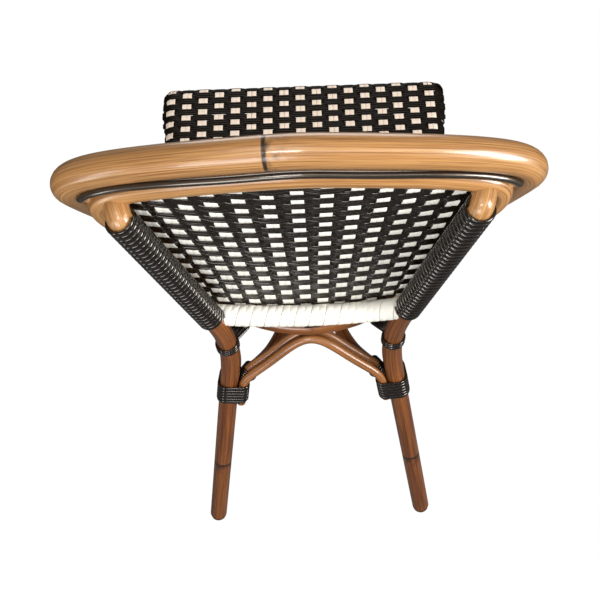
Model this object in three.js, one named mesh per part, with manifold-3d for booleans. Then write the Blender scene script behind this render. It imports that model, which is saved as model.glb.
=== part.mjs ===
// A bistro armless chair: bent metal tubes that look like cane, woven strand seat and back.
// Millimetres, +Z up, the front of the chair faces -Y. All places below are measured from the
// middle plane of the chair (x = 0), the floor (z = 0) and a datum plane y = 0 that stands
// a little in front of the rear legs' bends. The finished chair is centred over the origin.
import * as THREE from 'three';
import { mergeVertices } from 'three/addons/utils/BufferGeometryUtils.js';
import Module from 'manifold-3d';

const wasm = await Module();
wasm.setup();

// Fits
const touch = 0.35;              // gap between pieces that touch
const overrun = 30;              // how far a cutting body passes the piece it cuts

// Heights that the others follow
const seatHeight = 455;          // top of the weave
const hoopAboveSeat = 409.6;     // centre line of the top rail

// Tube diameters
const hoopDiameter = 35.4;       // thick top rail
const frameDiameter = 26.8;      // legs, uprights and inner hoop
const ringDiameter = 22;         // seat ring
const stretcherDiameter = 19;
const rodDiameter = 12.6;        // arches
const barDiameter = 16;          // cross bars under the seat
const bottomRailDiameter = 22;
const pipingDiameter = 8;
const tieDiameter = 6;

// Strand that binds the frame
const strandThickness = 2.4;
const strandGap = 0.8;           // between neighbouring turns
const creamThickness = 3.2;
const wrapThickness = 3.3;       // cord round the uprights

// Outer hoop, sizes to the tube's centre line
const hoopHalfWidth = 246;
const hoopRise = 82;             // from the widest point up to the middle
const hoopTopBack = 144.3;
const hoopSweep = 37;            // how far the corners stand in front of the middle
const hoopCornerReach = 160;     // stiffness of the bend below each corner
const hoopTailReach = 200;
const hoopTailForward = -92;     // where the hoop meets the seat ring
const hoopTailDrop = 23;         // its end lies this far below the seat's top
const cornerLeanShare = 0.45;    // forward lean of the bend below each corner
const archFullness = 1.6;        // exponent of the arch: 2 is an ellipse, 1 a tent

// Inner hoop
const innerRise = 56;
const innerTopBack = 140.5;
const innerSweep = 20.7;
const innerElbowDrop = 66;       // from the widest point down to the straight run
const innerElbowReach = 34;
const innerFootDrop = 25;        // its ends lie this far below the seat's top
const besideOutShare = 0.53;     // the run beside the upright lies this far outwards of it
const tailBendRise = 15;         // the run turns in to the seat ring this far above the seat's top

// Rear legs with their uprights
const rearFootSpread = 342;
const rearFootBack = 180.2;
const kneeSpread = 210.2;
const kneeBack = 97.9;
const kneeDrop = 22;             // the bend lies this far below the seat's top
const kneeBend = 66;             // length of each side of the bend
const uprightTopInset = 53.5;    // inside the outer hoop's widest place
const uprightTopBack = 153.8;
const uprightTopDrop = 64.6;     // below the top rail's centre line
const wrapBottomDrop = 1;        // the cord starts this far below the bottom rail's middle
const wrapTopDrop = 22;          // and stops this far below the top of the upright
const wrapTurns = 24;

// Front legs
const frontFootOut = 1;          // outside the seat ring's front corner
const frontTopInset = 8;         // inside that corner, and behind it
const frontTopBehind = 13;

// Foot glides
const glideHeight = 6;
const glideEdge = 2.5;
const glideInset = 0.8;

// Seat ring and woven seat
const seatSkin = 3.2;            // strand over the ring
const ringFrontHalf = 205;
const ringFrontBack = -343;
const ringRearBack = 84;
const ringRearRadius = 178;
const ringCornerRadius = 20;
const seatCornerRadius = 14;     // outer corner of the woven seat
const seatPlate = 5;
const seatWrapDrop = 8;          // how far the strand reaches below the ring's middle
const seatEdgeRound = 5;
const rearBareBack = 30;         // behind this the ring is bare below the panel
const rearBareDrop = 6;          // the panel's lip over the bare ring
const frontBarBack = -235;
const rearBarBack = -75;

// Back bottom rail and woven back
const bottomRailRise = 45;       // above the seat's top
const bottomRailForward = 10;    // the rail's ends stand this far in front of the uprights' axes
const bottomRailBulge = 5;
const railEndGap = 1.4;          // leaves room for the cord round the uprights
const creamEndGap = 1.2;
const creamTurns = 13;
const backThickness = 5;
const backEdgeGap = 1.4;         // the strands' loops fill it

// Arches between the legs, bound to them by a lashing
const lashDrop = 78;             // the lashing's top lies this far below the bend of the rear leg
const lashLength = 41;
const rodTail = 4;               // rod ends stand this far below the lashing
const lashTurns = 5;
const rodAngles = [-20, 21, 62, 103];  // degrees round the leg, from inwards towards the middle
const rodGap = 1.2;              // between the two rods of an arch
const archShares = [[0.93, 0.1], [0.83, 0.2], [0.74, 0.29], [0.49, 0.58], [0.22, 0.93]];
const bareApexAngle = -70;       // degrees from the level, seen along the bare part of the ring
const sideArchShares = [[0.955, 0.45], [0.86, 0.84], [0.66, 1], [0.34, 1]];
const sideStraightRise = 25;     // the side arches stay beside the legs this far above the lashing
const sideApexBack = -118;

// Stretchers
const stretcherDrop = 3.5;       // below the top of the lashing
const stretcherEndGap = 2;       // clears the bend of the arch rods at the stretcher's ends
const stretcherRearReach = 140;
const stretcherFrontReach = 150;
const stretcherRearDegrees = 214; // direction in plan where it leaves the rear arch
const stretcherFrontDegrees = 145;
const stretcherKnotTurns = 3;
const stretcherKnotStart = 6;

// Knot rings on the legs
const kneeKnotRise = 3;          // above the bend
const frontKnotDrop = 47;        // below the seat's top
const knotTurns = 2;
const knotStrandWidth = 6.4;

// Facets
const tubeSides = 10;
const hoopPieces = 12;
const rodSides = 6;
const rodPieces = 16;
const loopSteps = 10;
const lashSteps = 14;
const smallLoopSteps = 8;

const hoopRadius = hoopDiameter / 2;
const frameRadius = frameDiameter / 2;
const ringRadius = ringDiameter / 2;
const rodRadius = rodDiameter / 2;
const ringHeight = seatHeight - seatSkin - ringRadius;
const hoopTopHeight = seatHeight + hoopAboveSeat;
const hoopTailHeight = seatHeight - hoopTailDrop;
const innerFootHeight = seatHeight - innerFootDrop;
const tailBendHeight = seatHeight + tailBendRise;
const bottomRailHeight = seatHeight + bottomRailRise;
const kneeHeight = seatHeight - kneeDrop;
const kneeKnotHeight = kneeHeight + kneeKnotRise;
const frontKnotHeight = seatHeight - frontKnotDrop;
const lashHigh = kneeHeight - lashDrop;
const lashLow = lashHigh - lashLength;
const stretcherHeight = lashHigh - stretcherDrop;
const uprightTopHeight = hoopTopHeight - uprightTopDrop;
const wrapBottomHeight = bottomRailHeight - wrapBottomDrop;
const wrapTopHeight = uprightTopHeight - wrapTopDrop;
const radians = THREE.MathUtils.degToRad;
const point = (x, y, z) => new THREE.Vector3(x, y, z);

// Colours and finishes
const finishes = {
  goldenCane: { color: 0xb98a55, roughness: 0.34, metalness: 0 },
  brownCane: { color: 0x86532f, roughness: 0.34, metalness: 0 },
  blackStrand: { color: 0x17140f, roughness: 0.28, metalness: 0 },
  darkWeave: { color: 0x241c17, roughness: 0.45, metalness: 0 },
  creamStrand: { color: 0xf1ecdc, roughness: 0.4, metalness: 0 },
  glideNylon: { color: 0x2a1d16, roughness: 0.6, metalness: 0 },
};

/** A run of straight pieces through chosen points, sampled exactly at those points. */
class Route extends THREE.Curve {
  constructor(points) {
    super();
    this.points = points;
  }

  getPoint(t) {
    const last = this.points.length - 1;
    const place = Math.min(Math.max(t, 0), 1) * last;
    const index = Math.min(Math.floor(place), last - 1);
    return this.points[index].clone().lerp(this.points[index + 1], place - index);
  }

  getPointAt(t) {
    return this.getPoint(t);
  }

  getTangentAt(t) {
    const last = this.points.length - 1;
    const index = Math.round(t * last);
    const before = this.points[Math.max(index - 1, 0)];
    const after = this.points[Math.min(index + 1, last)];
    return after.clone().sub(before).normalize();
  }
}

/** A solid round bar along a list of points, with flat ends. */
function tube(points, diameter, sides = tubeSides) {
  const corners = Array.from({ length: sides }, (_, i) => {
    const angle = 2 * Math.PI * (i + 0.5) / sides;
    return new THREE.Vector2(Math.cos(angle), Math.sin(angle)).multiplyScalar(diameter / 2);
  });
  return new THREE.ExtrudeGeometry(new THREE.Shape(corners), {
    steps: points.length - 1, bevelEnabled: false, extrudePath: new Route(points),
  });
}

/** A strand of flat section along a list of stations; prints its least gap to itself. */
function strand(name, stations, thickness, width) {
  const positions = [];
  const index = [];
  const crownShare = 0.6;
  for (const { centre, out, along } of stations) {
    for (const [rise, side] of [[0, -0.5], [0, 0.5], [1, 0.5 * crownShare], [1, -0.5 * crownShare]]) {
      const corner = centre.clone().addScaledVector(out, rise * thickness);
      positions.push(...corner.addScaledVector(along, side * width).toArray());
    }
  }
  const last = stations.length - 1;
  for (let i = 0; i < last; i++) {
    for (let k = 0; k < 4; k++) {
      const a = 4 * i + k;
      const b = 4 * i + (k + 1) % 4;
      index.push(a, b, b + 4, a, b + 4, a + 4);
    }
  }
  index.push(0, 2, 1, 0, 3, 2);
  const end = 4 * last;
  index.push(end, end + 1, end + 2, end, end + 2, end + 3);
  const geometry = new THREE.BufferGeometry();
  geometry.setAttribute('position', new THREE.Float32BufferAttribute(positions, 3));
  geometry.setIndex(index);
  console.log(`${name}: least gap to itself ${leastGap(positions, stations).toFixed(2)} mm`);
  return facingOut(geometry);
}

/** The least distance between points of the strand that lie more than half a turn apart. */
function leastGap(positions, stations) {
  const half = Math.floor(stations.stepsPerTurn / 2);
  const cornerAt = (i, k) => point().fromArray(positions, 12 * i + 3 * k);
  const corners = stations.map((_, i) => [0, 1, 2, 3].map((k) => cornerAt(i, k)));
  let least = Infinity;
  for (let i = 0; i < corners.length; i++) {
    for (let j = i + half; j < Math.min(corners.length, i + 3 * half); j++) {
      for (const a of corners[i]) {
        for (const b of corners[j]) least = Math.min(least, a.distanceTo(b));
      }
    }
  }
  return least;
}

/** Turns a closed shell inside out if its faces point in. */
function facingOut(geometry) {
  const place = geometry.getAttribute('position');
  const index = geometry.getIndex();
  let volume = 0;
  const corner = (i) => point().fromBufferAttribute(place, index.getX(i));
  for (let i = 0; i < index.count; i += 3) {
    volume += corner(i).dot(corner(i + 1).cross(corner(i + 2)));
  }
  if (volume < 0) {
    for (let i = 0; i < index.count; i += 3) {
      const first = index.getX(i);
      index.setX(i, index.getX(i + 1));
      index.setX(i + 1, first);
    }
  }
  geometry.computeVertexNormals();
  return geometry;
}

/** Stations of a helix round circles of a cross-section, along an axis that may bend.
 *  axisAt(t) gives the origin and the two directions of the section at a share t of the length. */
function turnsRound(axisAt, circles, turns, steps, clearance) {
  const stations = [];
  const chordShare = 1 / Math.cos(Math.PI / steps);
  for (let i = 0; i <= turns * steps; i++) {
    const angle = 2 * Math.PI * i / steps;
    const { origin, u, v, along } = axisAt(i / (turns * steps));
    const cos = Math.cos(angle);
    const sin = Math.sin(angle);
    const reach = (circle) => circle.x * cos + circle.y * sin + circle.radius;
    const widest = circles.reduce((best, circle) => (reach(circle) > reach(best) ? circle : best));
    const out = u.clone().multiplyScalar(cos).addScaledVector(v, sin);
    const centre = origin.clone().addScaledVector(u, widest.x).addScaledVector(v, widest.y);
    centre.addScaledVector(out, (widest.radius + clearance) * chordShare);
    stations.push({ centre, out, along });
  }
  stations.stepsPerTurn = steps;
  return stations;
}

/** Strand wound on a straight axis, filling the length from one end to the other. */
function windingOn(name, from, to, wish, circles, turns, steps, clearance, thickness) {
  const length = from.distanceTo(to);
  const pitch = (length + strandGap) / (turns + 1);
  const inset = (pitch - strandGap) / 2 / length;
  const axis = straightAxis(from.clone().lerp(to, inset), to.clone().lerp(from, inset), wish);
  const stations = turnsRound(axis, circles, turns, steps, clearance);
  return strand(name, stations, thickness, pitch - strandGap);
}

/** Section directions along a straight axis, u pointing as near as can be to a wish. */
function straightAxis(from, to, wish) {
  const along = to.clone().sub(from).normalize();
  const u = wish.clone().addScaledVector(along, -wish.dot(along)).normalize();
  const v = along.clone().cross(u);
  return (t) => ({ origin: from.clone().lerp(to, t), u, v, along });
}

/** A closed shell as a manifold solid. */
function solid(geometry) {
  const bare = geometry.clone();
  bare.deleteAttribute('normal');
  bare.deleteAttribute('uv');
  const merged = mergeVertices(bare);
  return new wasm.Manifold(new wasm.Mesh({
    numProp: 3,
    vertProperties: new Float32Array(merged.getAttribute('position').array),
    triVerts: new Uint32Array(merged.getIndex().array),
  }));
}

/** A manifold solid as three.js geometry. */
function shell(manifold) {
  const { vertProperties, triVerts } = manifold.getMesh();
  const geometry = new THREE.BufferGeometry();
  geometry.setAttribute('position', new THREE.Float32BufferAttribute(vertProperties, 3));
  geometry.setIndex(new THREE.Uint32BufferAttribute(triVerts, 1));
  geometry.computeVertexNormals();
  return geometry;
}

/** A box between two corners. */
function block(low, high) {
  const size = high.clone().sub(low);
  const middle = low.clone().add(high).multiplyScalar(0.5);
  return new THREE.BoxGeometry(size.x, size.y, size.z).translate(middle.x, middle.y, middle.z);
}

/** Points of a cubic curve between two places with given end directions. */
function easedRun(from, leave, to, arrive, pieces) {
  const curve = new THREE.CubicBezierCurve3(from, from.clone().add(leave), to.clone().sub(arrive), to);
  return curve.getPoints(pieces);
}

/** Half of an arch, from the middle of the chair out to its widest point. */
function archHalf(halfWidth, rise, topHeight, topBack, sweep, pieces) {
  return Array.from({ length: pieces + 1 }, (_, i) => {
    const angle = (Math.PI / 2) * i / pieces;
    const outShare = Math.sin(angle) ** (2 / archFullness);
    const upShare = Math.max(Math.cos(angle), 0) ** (2 / archFullness);
    return point(halfWidth * outShare, topBack - sweep * outShare ** 2, topHeight - rise + rise * upShare);
  });
}

/** A full symmetric route from its half on the +X side. */
function mirrored(half) {
  const other = half.slice(1).reverse().map((p) => point(-p.x, p.y, p.z));
  return [...other, ...half];
}

/** A copy of a point on the other side of the chair when side is -1. */
const onSide = (side, p) => point(side * p.x, p.y, p.z);

const kneePlace = point(kneeSpread / 2, kneeBack, kneeHeight);
const rearFootPlace = point(rearFootSpread / 2, rearFootBack, 0);
const uprightTop = point(hoopHalfWidth - uprightTopInset, uprightTopBack, uprightTopHeight);
const frontFootPlace = point(ringFrontHalf + frontFootOut, ringFrontBack, 0);
const frontTopHeight = ringHeight - ringRadius - touch;
const frontTop = point(ringFrontHalf - frontTopInset, ringFrontBack + frontTopBehind, frontTopHeight);

/** The place at a height on a route that rises all the way; its end pieces go on past its ends. */
function atHeight(route, height) {
  const after = route.findIndex((p, i) => i > 0 && (p.z >= height || i === route.length - 1));
  const [low, high] = [route[after - 1], route[after]];
  return low.clone().lerp(high, (height - low.z) / (high.z - low.z));
}

/** Straight leg, bend and straight upright. */
function rearLegRoute() {
  const down = rearFootPlace.clone().sub(kneePlace).setLength(kneeBend);
  const up = uprightTop.clone().sub(kneePlace).setLength(kneeBend);
  const [start, end] = [kneePlace.clone().add(down), kneePlace.clone().add(up)];
  const bend = new THREE.QuadraticBezierCurve3(start, kneePlace, end);
  return [rearFootPlace, ...bend.getPoints(4), uprightTop];
}
const rearRoute = rearLegRoute();
const frontRoute = [frontFootPlace, frontTop];
const rearLegAt = (height) => atHeight(rearRoute, height);
const uprightAt = rearLegAt;
const frontLegAt = (height) => atHeight(frontRoute, height);

// Inner hoop: its place follows the outer hoop, the piping and the upright
const railSpacing = hoopRadius + pipingDiameter + frameRadius + 2 * touch;
const innerTopHeight = hoopTopHeight - railSpacing;
const innerHalfWidth = hoopHalfWidth - hoopRadius - frameRadius - touch;
const wrapRadius = (frameRadius + touch) / Math.cos(Math.PI / loopSteps) + wrapThickness;
const besideReach = wrapRadius + touch + frameRadius;
const besideOut = besideReach * besideOutShare;
const besideFront = Math.sqrt(besideReach ** 2 - besideOut ** 2);
const besideUpright = (height) => uprightAt(height).add(point(besideOut, -besideFront, 0));

/** Outline of the seat at an offset from the ring's centre line: round rear, straight sides and front. */
function seatOutline(offset, cornerRadius, rearPieces = 24) {
  const rear = new THREE.Vector2(0, ringRearBack - ringRearRadius);
  const bend = new THREE.Vector2(ringFrontHalf - ringCornerRadius, ringFrontBack + ringCornerRadius);
  const between = bend.sub(rear);
  const turn = Math.acos((ringRearRadius - ringCornerRadius) / between.length());
  const side = Math.atan2(between.y, between.x) + turn;
  const reach = rear.y * Math.sin(side) + ringRearRadius + offset;
  const cornerBack = ringFrontBack - offset + cornerRadius;
  const cornerOut = (reach - cornerRadius - cornerBack * Math.sin(side)) / Math.cos(side);
  const arc = (x, y, radius, from, to, pieces) => Array.from({ length: pieces + 1 }, (_, i) => {
    const angle = from + (to - from) * i / pieces;
    return new THREE.Vector2(x + radius * Math.cos(angle), y + radius * Math.sin(angle));
  });
  return [
    ...arc(rear.x, rear.y, ringRearRadius + offset, side, Math.PI - side, rearPieces),
    ...arc(-cornerOut, cornerBack, cornerRadius, Math.PI - side, 1.5 * Math.PI, 4),
    ...arc(cornerOut, cornerBack, cornerRadius, -0.5 * Math.PI, side, 4),
  ];
}

const ringCentre = seatOutline(0, ringCornerRadius).map((p) => point(p.x, p.y, ringHeight));

/** The seat ring's closed tube at a given radius. */
function ringTube(radius) {
  const path = new Route([...ringCentre, ringCentre[0].clone()]);
  path.getTangentAt = (t) => {
    const count = ringCentre.length;
    const index = Math.round(t * count) % count;
    return ringCentre[(index + 1) % count].clone().sub(ringCentre[(index + count - 1) % count]).normalize();
  };
  return new THREE.TubeGeometry(path, ringCentre.length, radius, tubeSides, true);
}

/** The ring's centre line on the +X side at a place in Y. */
function ringSideAt(back) {
  const side = ringCentre.filter((p) => p.x > 0).sort((a, b) => a.y - b.y);
  const after = side.findIndex((p) => p.y >= back);
  const [near, far] = [side[after - 1], side[after]];
  return near.clone().lerp(far, (back - near.y) / (far.y - near.y));
}

function outerHoopRoute(archPieces) {
  const arch = archHalf(hoopHalfWidth, hoopRise, hoopTopHeight, hoopTopBack, hoopSweep, archPieces);
  const corner = arch[arch.length - 1];
  const ringSide = ringSideAt(hoopTailForward);
  const out = ringSide.x + ringRadius + seatSkin + touch + hoopRadius;
  const foot = point(out, hoopTailForward, hoopTailHeight);
  const lean = point(0, -cornerLeanShare, -Math.sqrt(1 - cornerLeanShare ** 2));
  const leave = lean.multiplyScalar(hoopCornerReach / 3);
  const arrive = foot.clone().sub(corner).setLength(hoopTailReach / 3);
  const tail = easedRun(corner, leave, foot, arrive, 9).slice(1);
  return [...arch, ...tail];
}

function innerHoopRoute(archPieces) {
  const arch = archHalf(innerHalfWidth, innerRise, innerTopHeight, innerTopBack, innerSweep, archPieces);
  const corner = arch[arch.length - 1];
  const start = besideUpright(corner.z - innerElbowDrop);
  const turn = besideUpright(tailBendHeight);
  const down = turn.clone().sub(start);
  const arrive = down.clone().setLength(innerElbowReach);
  const elbow = easedRun(corner, point(0, 0, -innerElbowReach), start, arrive, 5);
  const fromArc = besideUpright(innerFootHeight).sub(point(0, ringRearBack - ringRearRadius, 0)).setZ(0);
  const reach = ringRearRadius + ringRadius + seatSkin + touch + frameRadius;
  const foot = fromArc.setLength(reach).add(point(0, ringRearBack - ringRearRadius, innerFootHeight));
  return [...arch, ...elbow.slice(1), turn, foot];
}

/** How far a place lies from a route of straight pieces. */
function distanceTo(route, place) {
  const pieces = route.slice(1).map((end, i) => new THREE.Line3(route[i], end));
  const feet = pieces.map((piece) => piece.closestPointToPoint(place, true, point()));
  return Math.min(...feet.map((foot) => foot.distanceTo(place)));
}

/** Round cord seated in the groove behind the two hoops, touching both. */
function hoopPiping() {
  const outer = mirrored(outerHoopRoute(hoopPieces));
  const inner = mirrored(innerHoopRoute(hoopPieces));
  const middle = (outer.length - 1) / 2;
  const outerReach = hoopRadius + pipingDiameter / 2 + touch;
  const innerReach = frameRadius + pipingDiameter / 2 + touch;
  const half = Array.from({ length: hoopPieces + 1 }, (_, i) => {
    const station = outer[middle + i];
    const along = outer[middle + i + 1].clone().sub(outer[middle + i - 1]).normalize();
    const behind = point(0, 1, 0).addScaledVector(along, -along.y).normalize();
    const inwards = behind.clone().cross(along);
    const at = (angle) => station.clone()
      .addScaledVector(inwards, outerReach * Math.cos(angle))
      .addScaledVector(behind, outerReach * Math.sin(angle));
    let [near, far] = [0, Math.PI / 2];
    for (let round = 0; round < 30; round++) {
      const angle = (near + far) / 2;
      [near, far] = distanceTo(inner, at(angle)) < innerReach ? [angle, far] : [near, angle];
    }
    return at(far);
  });
  half[0].x = 0;
  return tube(mirrored(half), pipingDiameter, 8);
}

function trimAtFloor(geometry) {
  const reach = rearFootSpread + overrun;
  const low = point(-reach, ringFrontBack - overrun - reach, -reach);
  const high = point(reach, rearFootBack + reach, glideHeight + touch);
  return shell(solid(geometry).subtract(solid(block(low, high))));
}

function rearLeg(side) {
  const route = [rearLegAt(-overrun), ...rearRoute.slice(1)].map((p) => onSide(side, p));
  return trimAtFloor(tube(route, frameDiameter, 12));
}

function frontLeg(side) {
  const route = [frontLegAt(-overrun), frontTop].map((p) => onSide(side, p));
  return trimAtFloor(tube(route, frameDiameter, 12));
}

function footGlide(place, side) {
  const radius = frameRadius - glideInset;
  const edge = [[radius - glideEdge, 0], [radius, glideEdge], [radius, glideHeight]];
  const profile = [[0, 0], ...edge, [0, glideHeight]].map(([r, z]) => new THREE.Vector2(r, z));
  const lathe = new THREE.LatheGeometry(profile, 12);
  return lathe.rotateX(Math.PI / 2).translate(side * place.x, place.y, 0);
}

function uprightWrap(name, side) {
  const from = onSide(side, uprightAt(wrapBottomHeight));
  const to = onSide(side, uprightAt(wrapTopHeight));
  const circle = { x: 0, y: 0, radius: frameRadius };
  return windingOn(name, from, to, point(-side, 0, 0), [circle], wrapTurns, loopSteps, touch, wrapThickness);
}

/** Knot of a few turns round one leg. */
function legKnot(name, side, legAt, height) {
  const pitch = knotStrandWidth + 2 * strandGap;
  const axis = (t) => {
    const level = height + knotTurns * pitch * (t - 0.5);
    const along = onSide(side, legAt(level + pitch)).sub(onSide(side, legAt(level - pitch))).normalize();
    const u = along.clone().cross(point(0, side, 0)).normalize();
    return { origin: onSide(side, legAt(level)), u, v: along.clone().cross(u), along };
  };
  const stations = turnsRound(axis, [{ x: 0, y: 0, radius: frameRadius }], knotTurns, loopSteps, touch);
  return strand(name, stations, strandThickness, knotStrandWidth);
}

/** Directions of the four rods round a leg; ahead is +1 where the middle of the chair lies in +Y. */
function rodDirection(side, ahead, angle) {
  return point(-side * Math.cos(radians(angle)), ahead * Math.sin(radians(angle)), 0);
}

/** The centre of a rod beside a leg at a height. */
function rodPlace(side, legAt, ahead, angle, height) {
  const reach = frameRadius + rodRadius + touch;
  return onSide(side, legAt(height)).addScaledVector(rodDirection(side, ahead, angle), reach);
}

/** Strand round a leg and the four rod ends beside it. */
function lashing(name, side, legAt, ahead) {
  const from = onSide(side, legAt(lashLow));
  const to = onSide(side, legAt(lashHigh));
  const { u, v } = straightAxis(from, to, point(-side, 0, 0))(0);
  const reach = frameRadius + rodRadius + touch;
  const rods = rodAngles.map((angle) => {
    const place = rodDirection(side, ahead, angle).multiplyScalar(reach);
    return { x: place.dot(u), y: place.dot(v), radius: rodRadius };
  });
  const circles = [{ x: 0, y: 0, radius: frameRadius }, ...rods];
  const wish = point(-side, 0, 0);
  return windingOn(name, from, to, wish, circles, lashTurns, lashSteps, 2 * touch, strandThickness);
}

/** The route of a rod from beside one leg, up to its apex under the ring and down beside the next leg. */
function archRoute(first, apex, second, straightHigh, shares) {
  const climb = (end) => {
    const high = end.at(straightHigh);
    const shoulders = shares.map(([outShare, upShare]) => {
      const place = apex.clone().lerp(high, outShare);
      place.z = high.z + (apex.z - high.z) * upShare;
      return place;
    });
    return [end.at(lashLow - rodTail), high, ...shoulders];
  };
  const rise = climb(first);
  const fall = climb(second).reverse();
  const bends = [...rise.slice(1), apex, ...fall.slice(0, -1)];
  const curve = new THREE.CatmullRomCurve3(bends, false, 'centripetal');
  return [rise[0], ...curve.getPoints(rodPieces), fall[fall.length - 1]];
}

const rearEnd = (side, angle) => ({ at: (height) => rodPlace(side, rearLegAt, -1, angle, height) });
const frontEnd = (side, angle) => ({ at: (height) => rodPlace(side, frontLegAt, 1, angle, height) });

/** Rod apex on the ring's underside; outward is the plan direction away from the seat. */
function apexUnder(ringPlace, outward, angle) {
  const reach = ringRadius + rodRadius + touch;
  const level = outward.clone().multiplyScalar(reach * Math.cos(radians(angle)));
  return ringPlace.clone().add(level).add(point(0, 0, reach * Math.sin(radians(angle))));
}

/** The second rod's place round the ring: beside the first, also touching the ring. */
function nextApexAngle(angle) {
  const reach = ringRadius + rodRadius + touch;
  return angle - THREE.MathUtils.radToDeg(2 * Math.asin((rodDiameter + rodGap) / 2 / reach));
}

/** The first rod's place round the woven part of the ring, just under the strand's edge. */
function wovenApexAngle() {
  const reach = ringRadius + rodRadius + touch;
  return -THREE.MathUtils.radToDeg(Math.asin((seatWrapDrop + rodRadius + touch) / reach));
}

function crossArch(back, outward, makeEnd, angle, apexAngle) {
  const ringPlace = point(0, back, ringHeight);
  const apex = apexUnder(ringPlace, point(0, outward, 0), apexAngle);
  return archRoute(makeEnd(1, angle), apex, makeEnd(-1, angle), lashHigh + rodTail, archShares);
}

const rearArch = () => crossArch(ringRearBack, 1, rearEnd, rodAngles[0], bareApexAngle);
const rearArchInner = () => crossArch(ringRearBack, 1, rearEnd, rodAngles[1], nextApexAngle(bareApexAngle));
const frontArch = () => crossArch(ringFrontBack, -1, frontEnd, rodAngles[0], wovenApexAngle());
const frontInnerAngle = () => nextApexAngle(wovenApexAngle());
const frontArchInner = () => crossArch(ringFrontBack, -1, frontEnd, rodAngles[1], frontInnerAngle());

/** Arch between the legs on one side, level under the ring; place is +1 outside, -1 inside. */
function sideArch(side, angle, place) {
  const under = point(side * place * (rodDiameter + rodGap) / 2, 0, -ringRadius - rodRadius - touch);
  const apex = onSide(side, ringSideAt(sideApexBack)).add(under);
  const straightHigh = lashHigh + sideStraightRise;
  return archRoute(rearEnd(side, angle), apex, frontEnd(side, angle), straightHigh, sideArchShares);
}

/** Bowed tube between the inner rods of the rear and front arches on one side. */
function stretcherRoute(side) {
  const heading = (angle) => point(Math.cos(radians(angle)), Math.sin(radians(angle)), 0);
  const rearWay = heading(stretcherRearDegrees);
  const frontWay = heading(stretcherFrontDegrees);
  const radius = stretcherDiameter / 2;
  const endAt = (arch, way) => {
    const climb = arch.slice(0, Math.ceil(arch.length / 2));
    const middle = atHeight(climb, stretcherHeight);
    const reach = (level) => atHeight(climb, level).sub(middle).dot(way);
    const drift = Math.max(reach(stretcherHeight + radius), reach(stretcherHeight - radius));
    return middle.addScaledVector(way, rodRadius + stretcherEndGap + drift);
  };
  const rear = endAt(rearArchInner(), rearWay);
  const front = endAt(frontArchInner(), frontWay);
  const leave = rearWay.multiplyScalar(stretcherRearReach);
  const arrive = frontWay.multiplyScalar(-stretcherFrontReach);
  return easedRun(rear, leave, front, arrive, 10).map((p) => onSide(side, p));
}

function stretcherKnot(name, side) {
  const route = stretcherRoute(side);
  const way = route[1].clone().sub(route[0]).normalize();
  const from = route[0].clone().addScaledVector(way, stretcherKnotStart);
  const width = knotStrandWidth / 2;
  const to = from.clone().addScaledVector(way, stretcherKnotTurns * (width + strandGap));
  const axis = straightAxis(from, to, point(0, 0, 1));
  const circle = { x: 0, y: 0, radius: stretcherDiameter / 2 };
  const stations = turnsRound(axis, [circle], stretcherKnotTurns, smallLoopSteps, touch);
  return strand(name, stations, strandThickness, width);
}

/** Strand from the bend of the rear leg, under the seat ring and up inside it. */
function seatTie(side) {
  const leg = rearLegAt(kneeKnotHeight);
  const arcCentre = point(0, ringRearBack - ringRearRadius, kneeKnotHeight);
  const way = arcCentre.clone().sub(leg).normalize();
  const start = leg.clone().addScaledVector(way, frameRadius + strandThickness + tieDiameter / 2 + 3 * touch);
  const ringAway = leg.distanceTo(arcCentre) - ringRearRadius;
  const under = leg.clone().addScaledVector(way, ringAway);
  under.z = ringHeight - ringRadius - tieDiameter / 2 - touch;
  const before = start.clone().lerp(under, 0.5);
  const inside = under.clone().addScaledVector(way, ringRadius).add(point(0, 0, tieDiameter / 2));
  return tube([start, before, under, inside].map((p) => onSide(side, p)), tieDiameter, rodSides);
}

/** Where a round piece of the bottom rail ends beside the leaning uprights. */
function besideRail(radius) {
  const reach = [radius, -radius].map((rise) => uprightAt(bottomRailHeight + rise).x);
  return Math.min(...reach) - frameRadius - touch - railEndGap;
}

/** The bottom rail's middle line across the back. */
function bottomRailAt(x) {
  const rise = bottomRailBulge * (1 - (x / besideRail(bottomRailDiameter / 2)) ** 2);
  return point(x, uprightAt(bottomRailHeight).y - bottomRailForward + rise, bottomRailHeight);
}

function bottomRail() {
  const half = besideRail(bottomRailDiameter / 2);
  const pieces = 8;
  const route = Array.from({ length: pieces + 1 }, (_, i) => bottomRailAt(half * (2 * i / pieces - 1)));
  return tube(route, bottomRailDiameter);
}

function creamWrap() {
  const end = besideRail(bottomRailDiameter / 2 + creamThickness) - creamEndGap;
  const pitch = (2 * end + strandGap) / (creamTurns + 1);
  const half = end - (pitch - strandGap) / 2;
  const axis = (t) => {
    const x = half * (2 * t - 1);
    const near = pitch / 2;
    const along = bottomRailAt(x + near).sub(bottomRailAt(x - near)).normalize();
    const v = point(0, 0, 1);
    return { origin: bottomRailAt(x), u: v.clone().cross(along), v, along };
  };
  const circle = { x: 0, y: 0, radius: bottomRailDiameter / 2 };
  const stations = turnsRound(axis, [circle], creamTurns, loopSteps, touch);
  return strand('bottom_rail_wrap', stations, creamThickness, pitch - strandGap);
}

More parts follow.
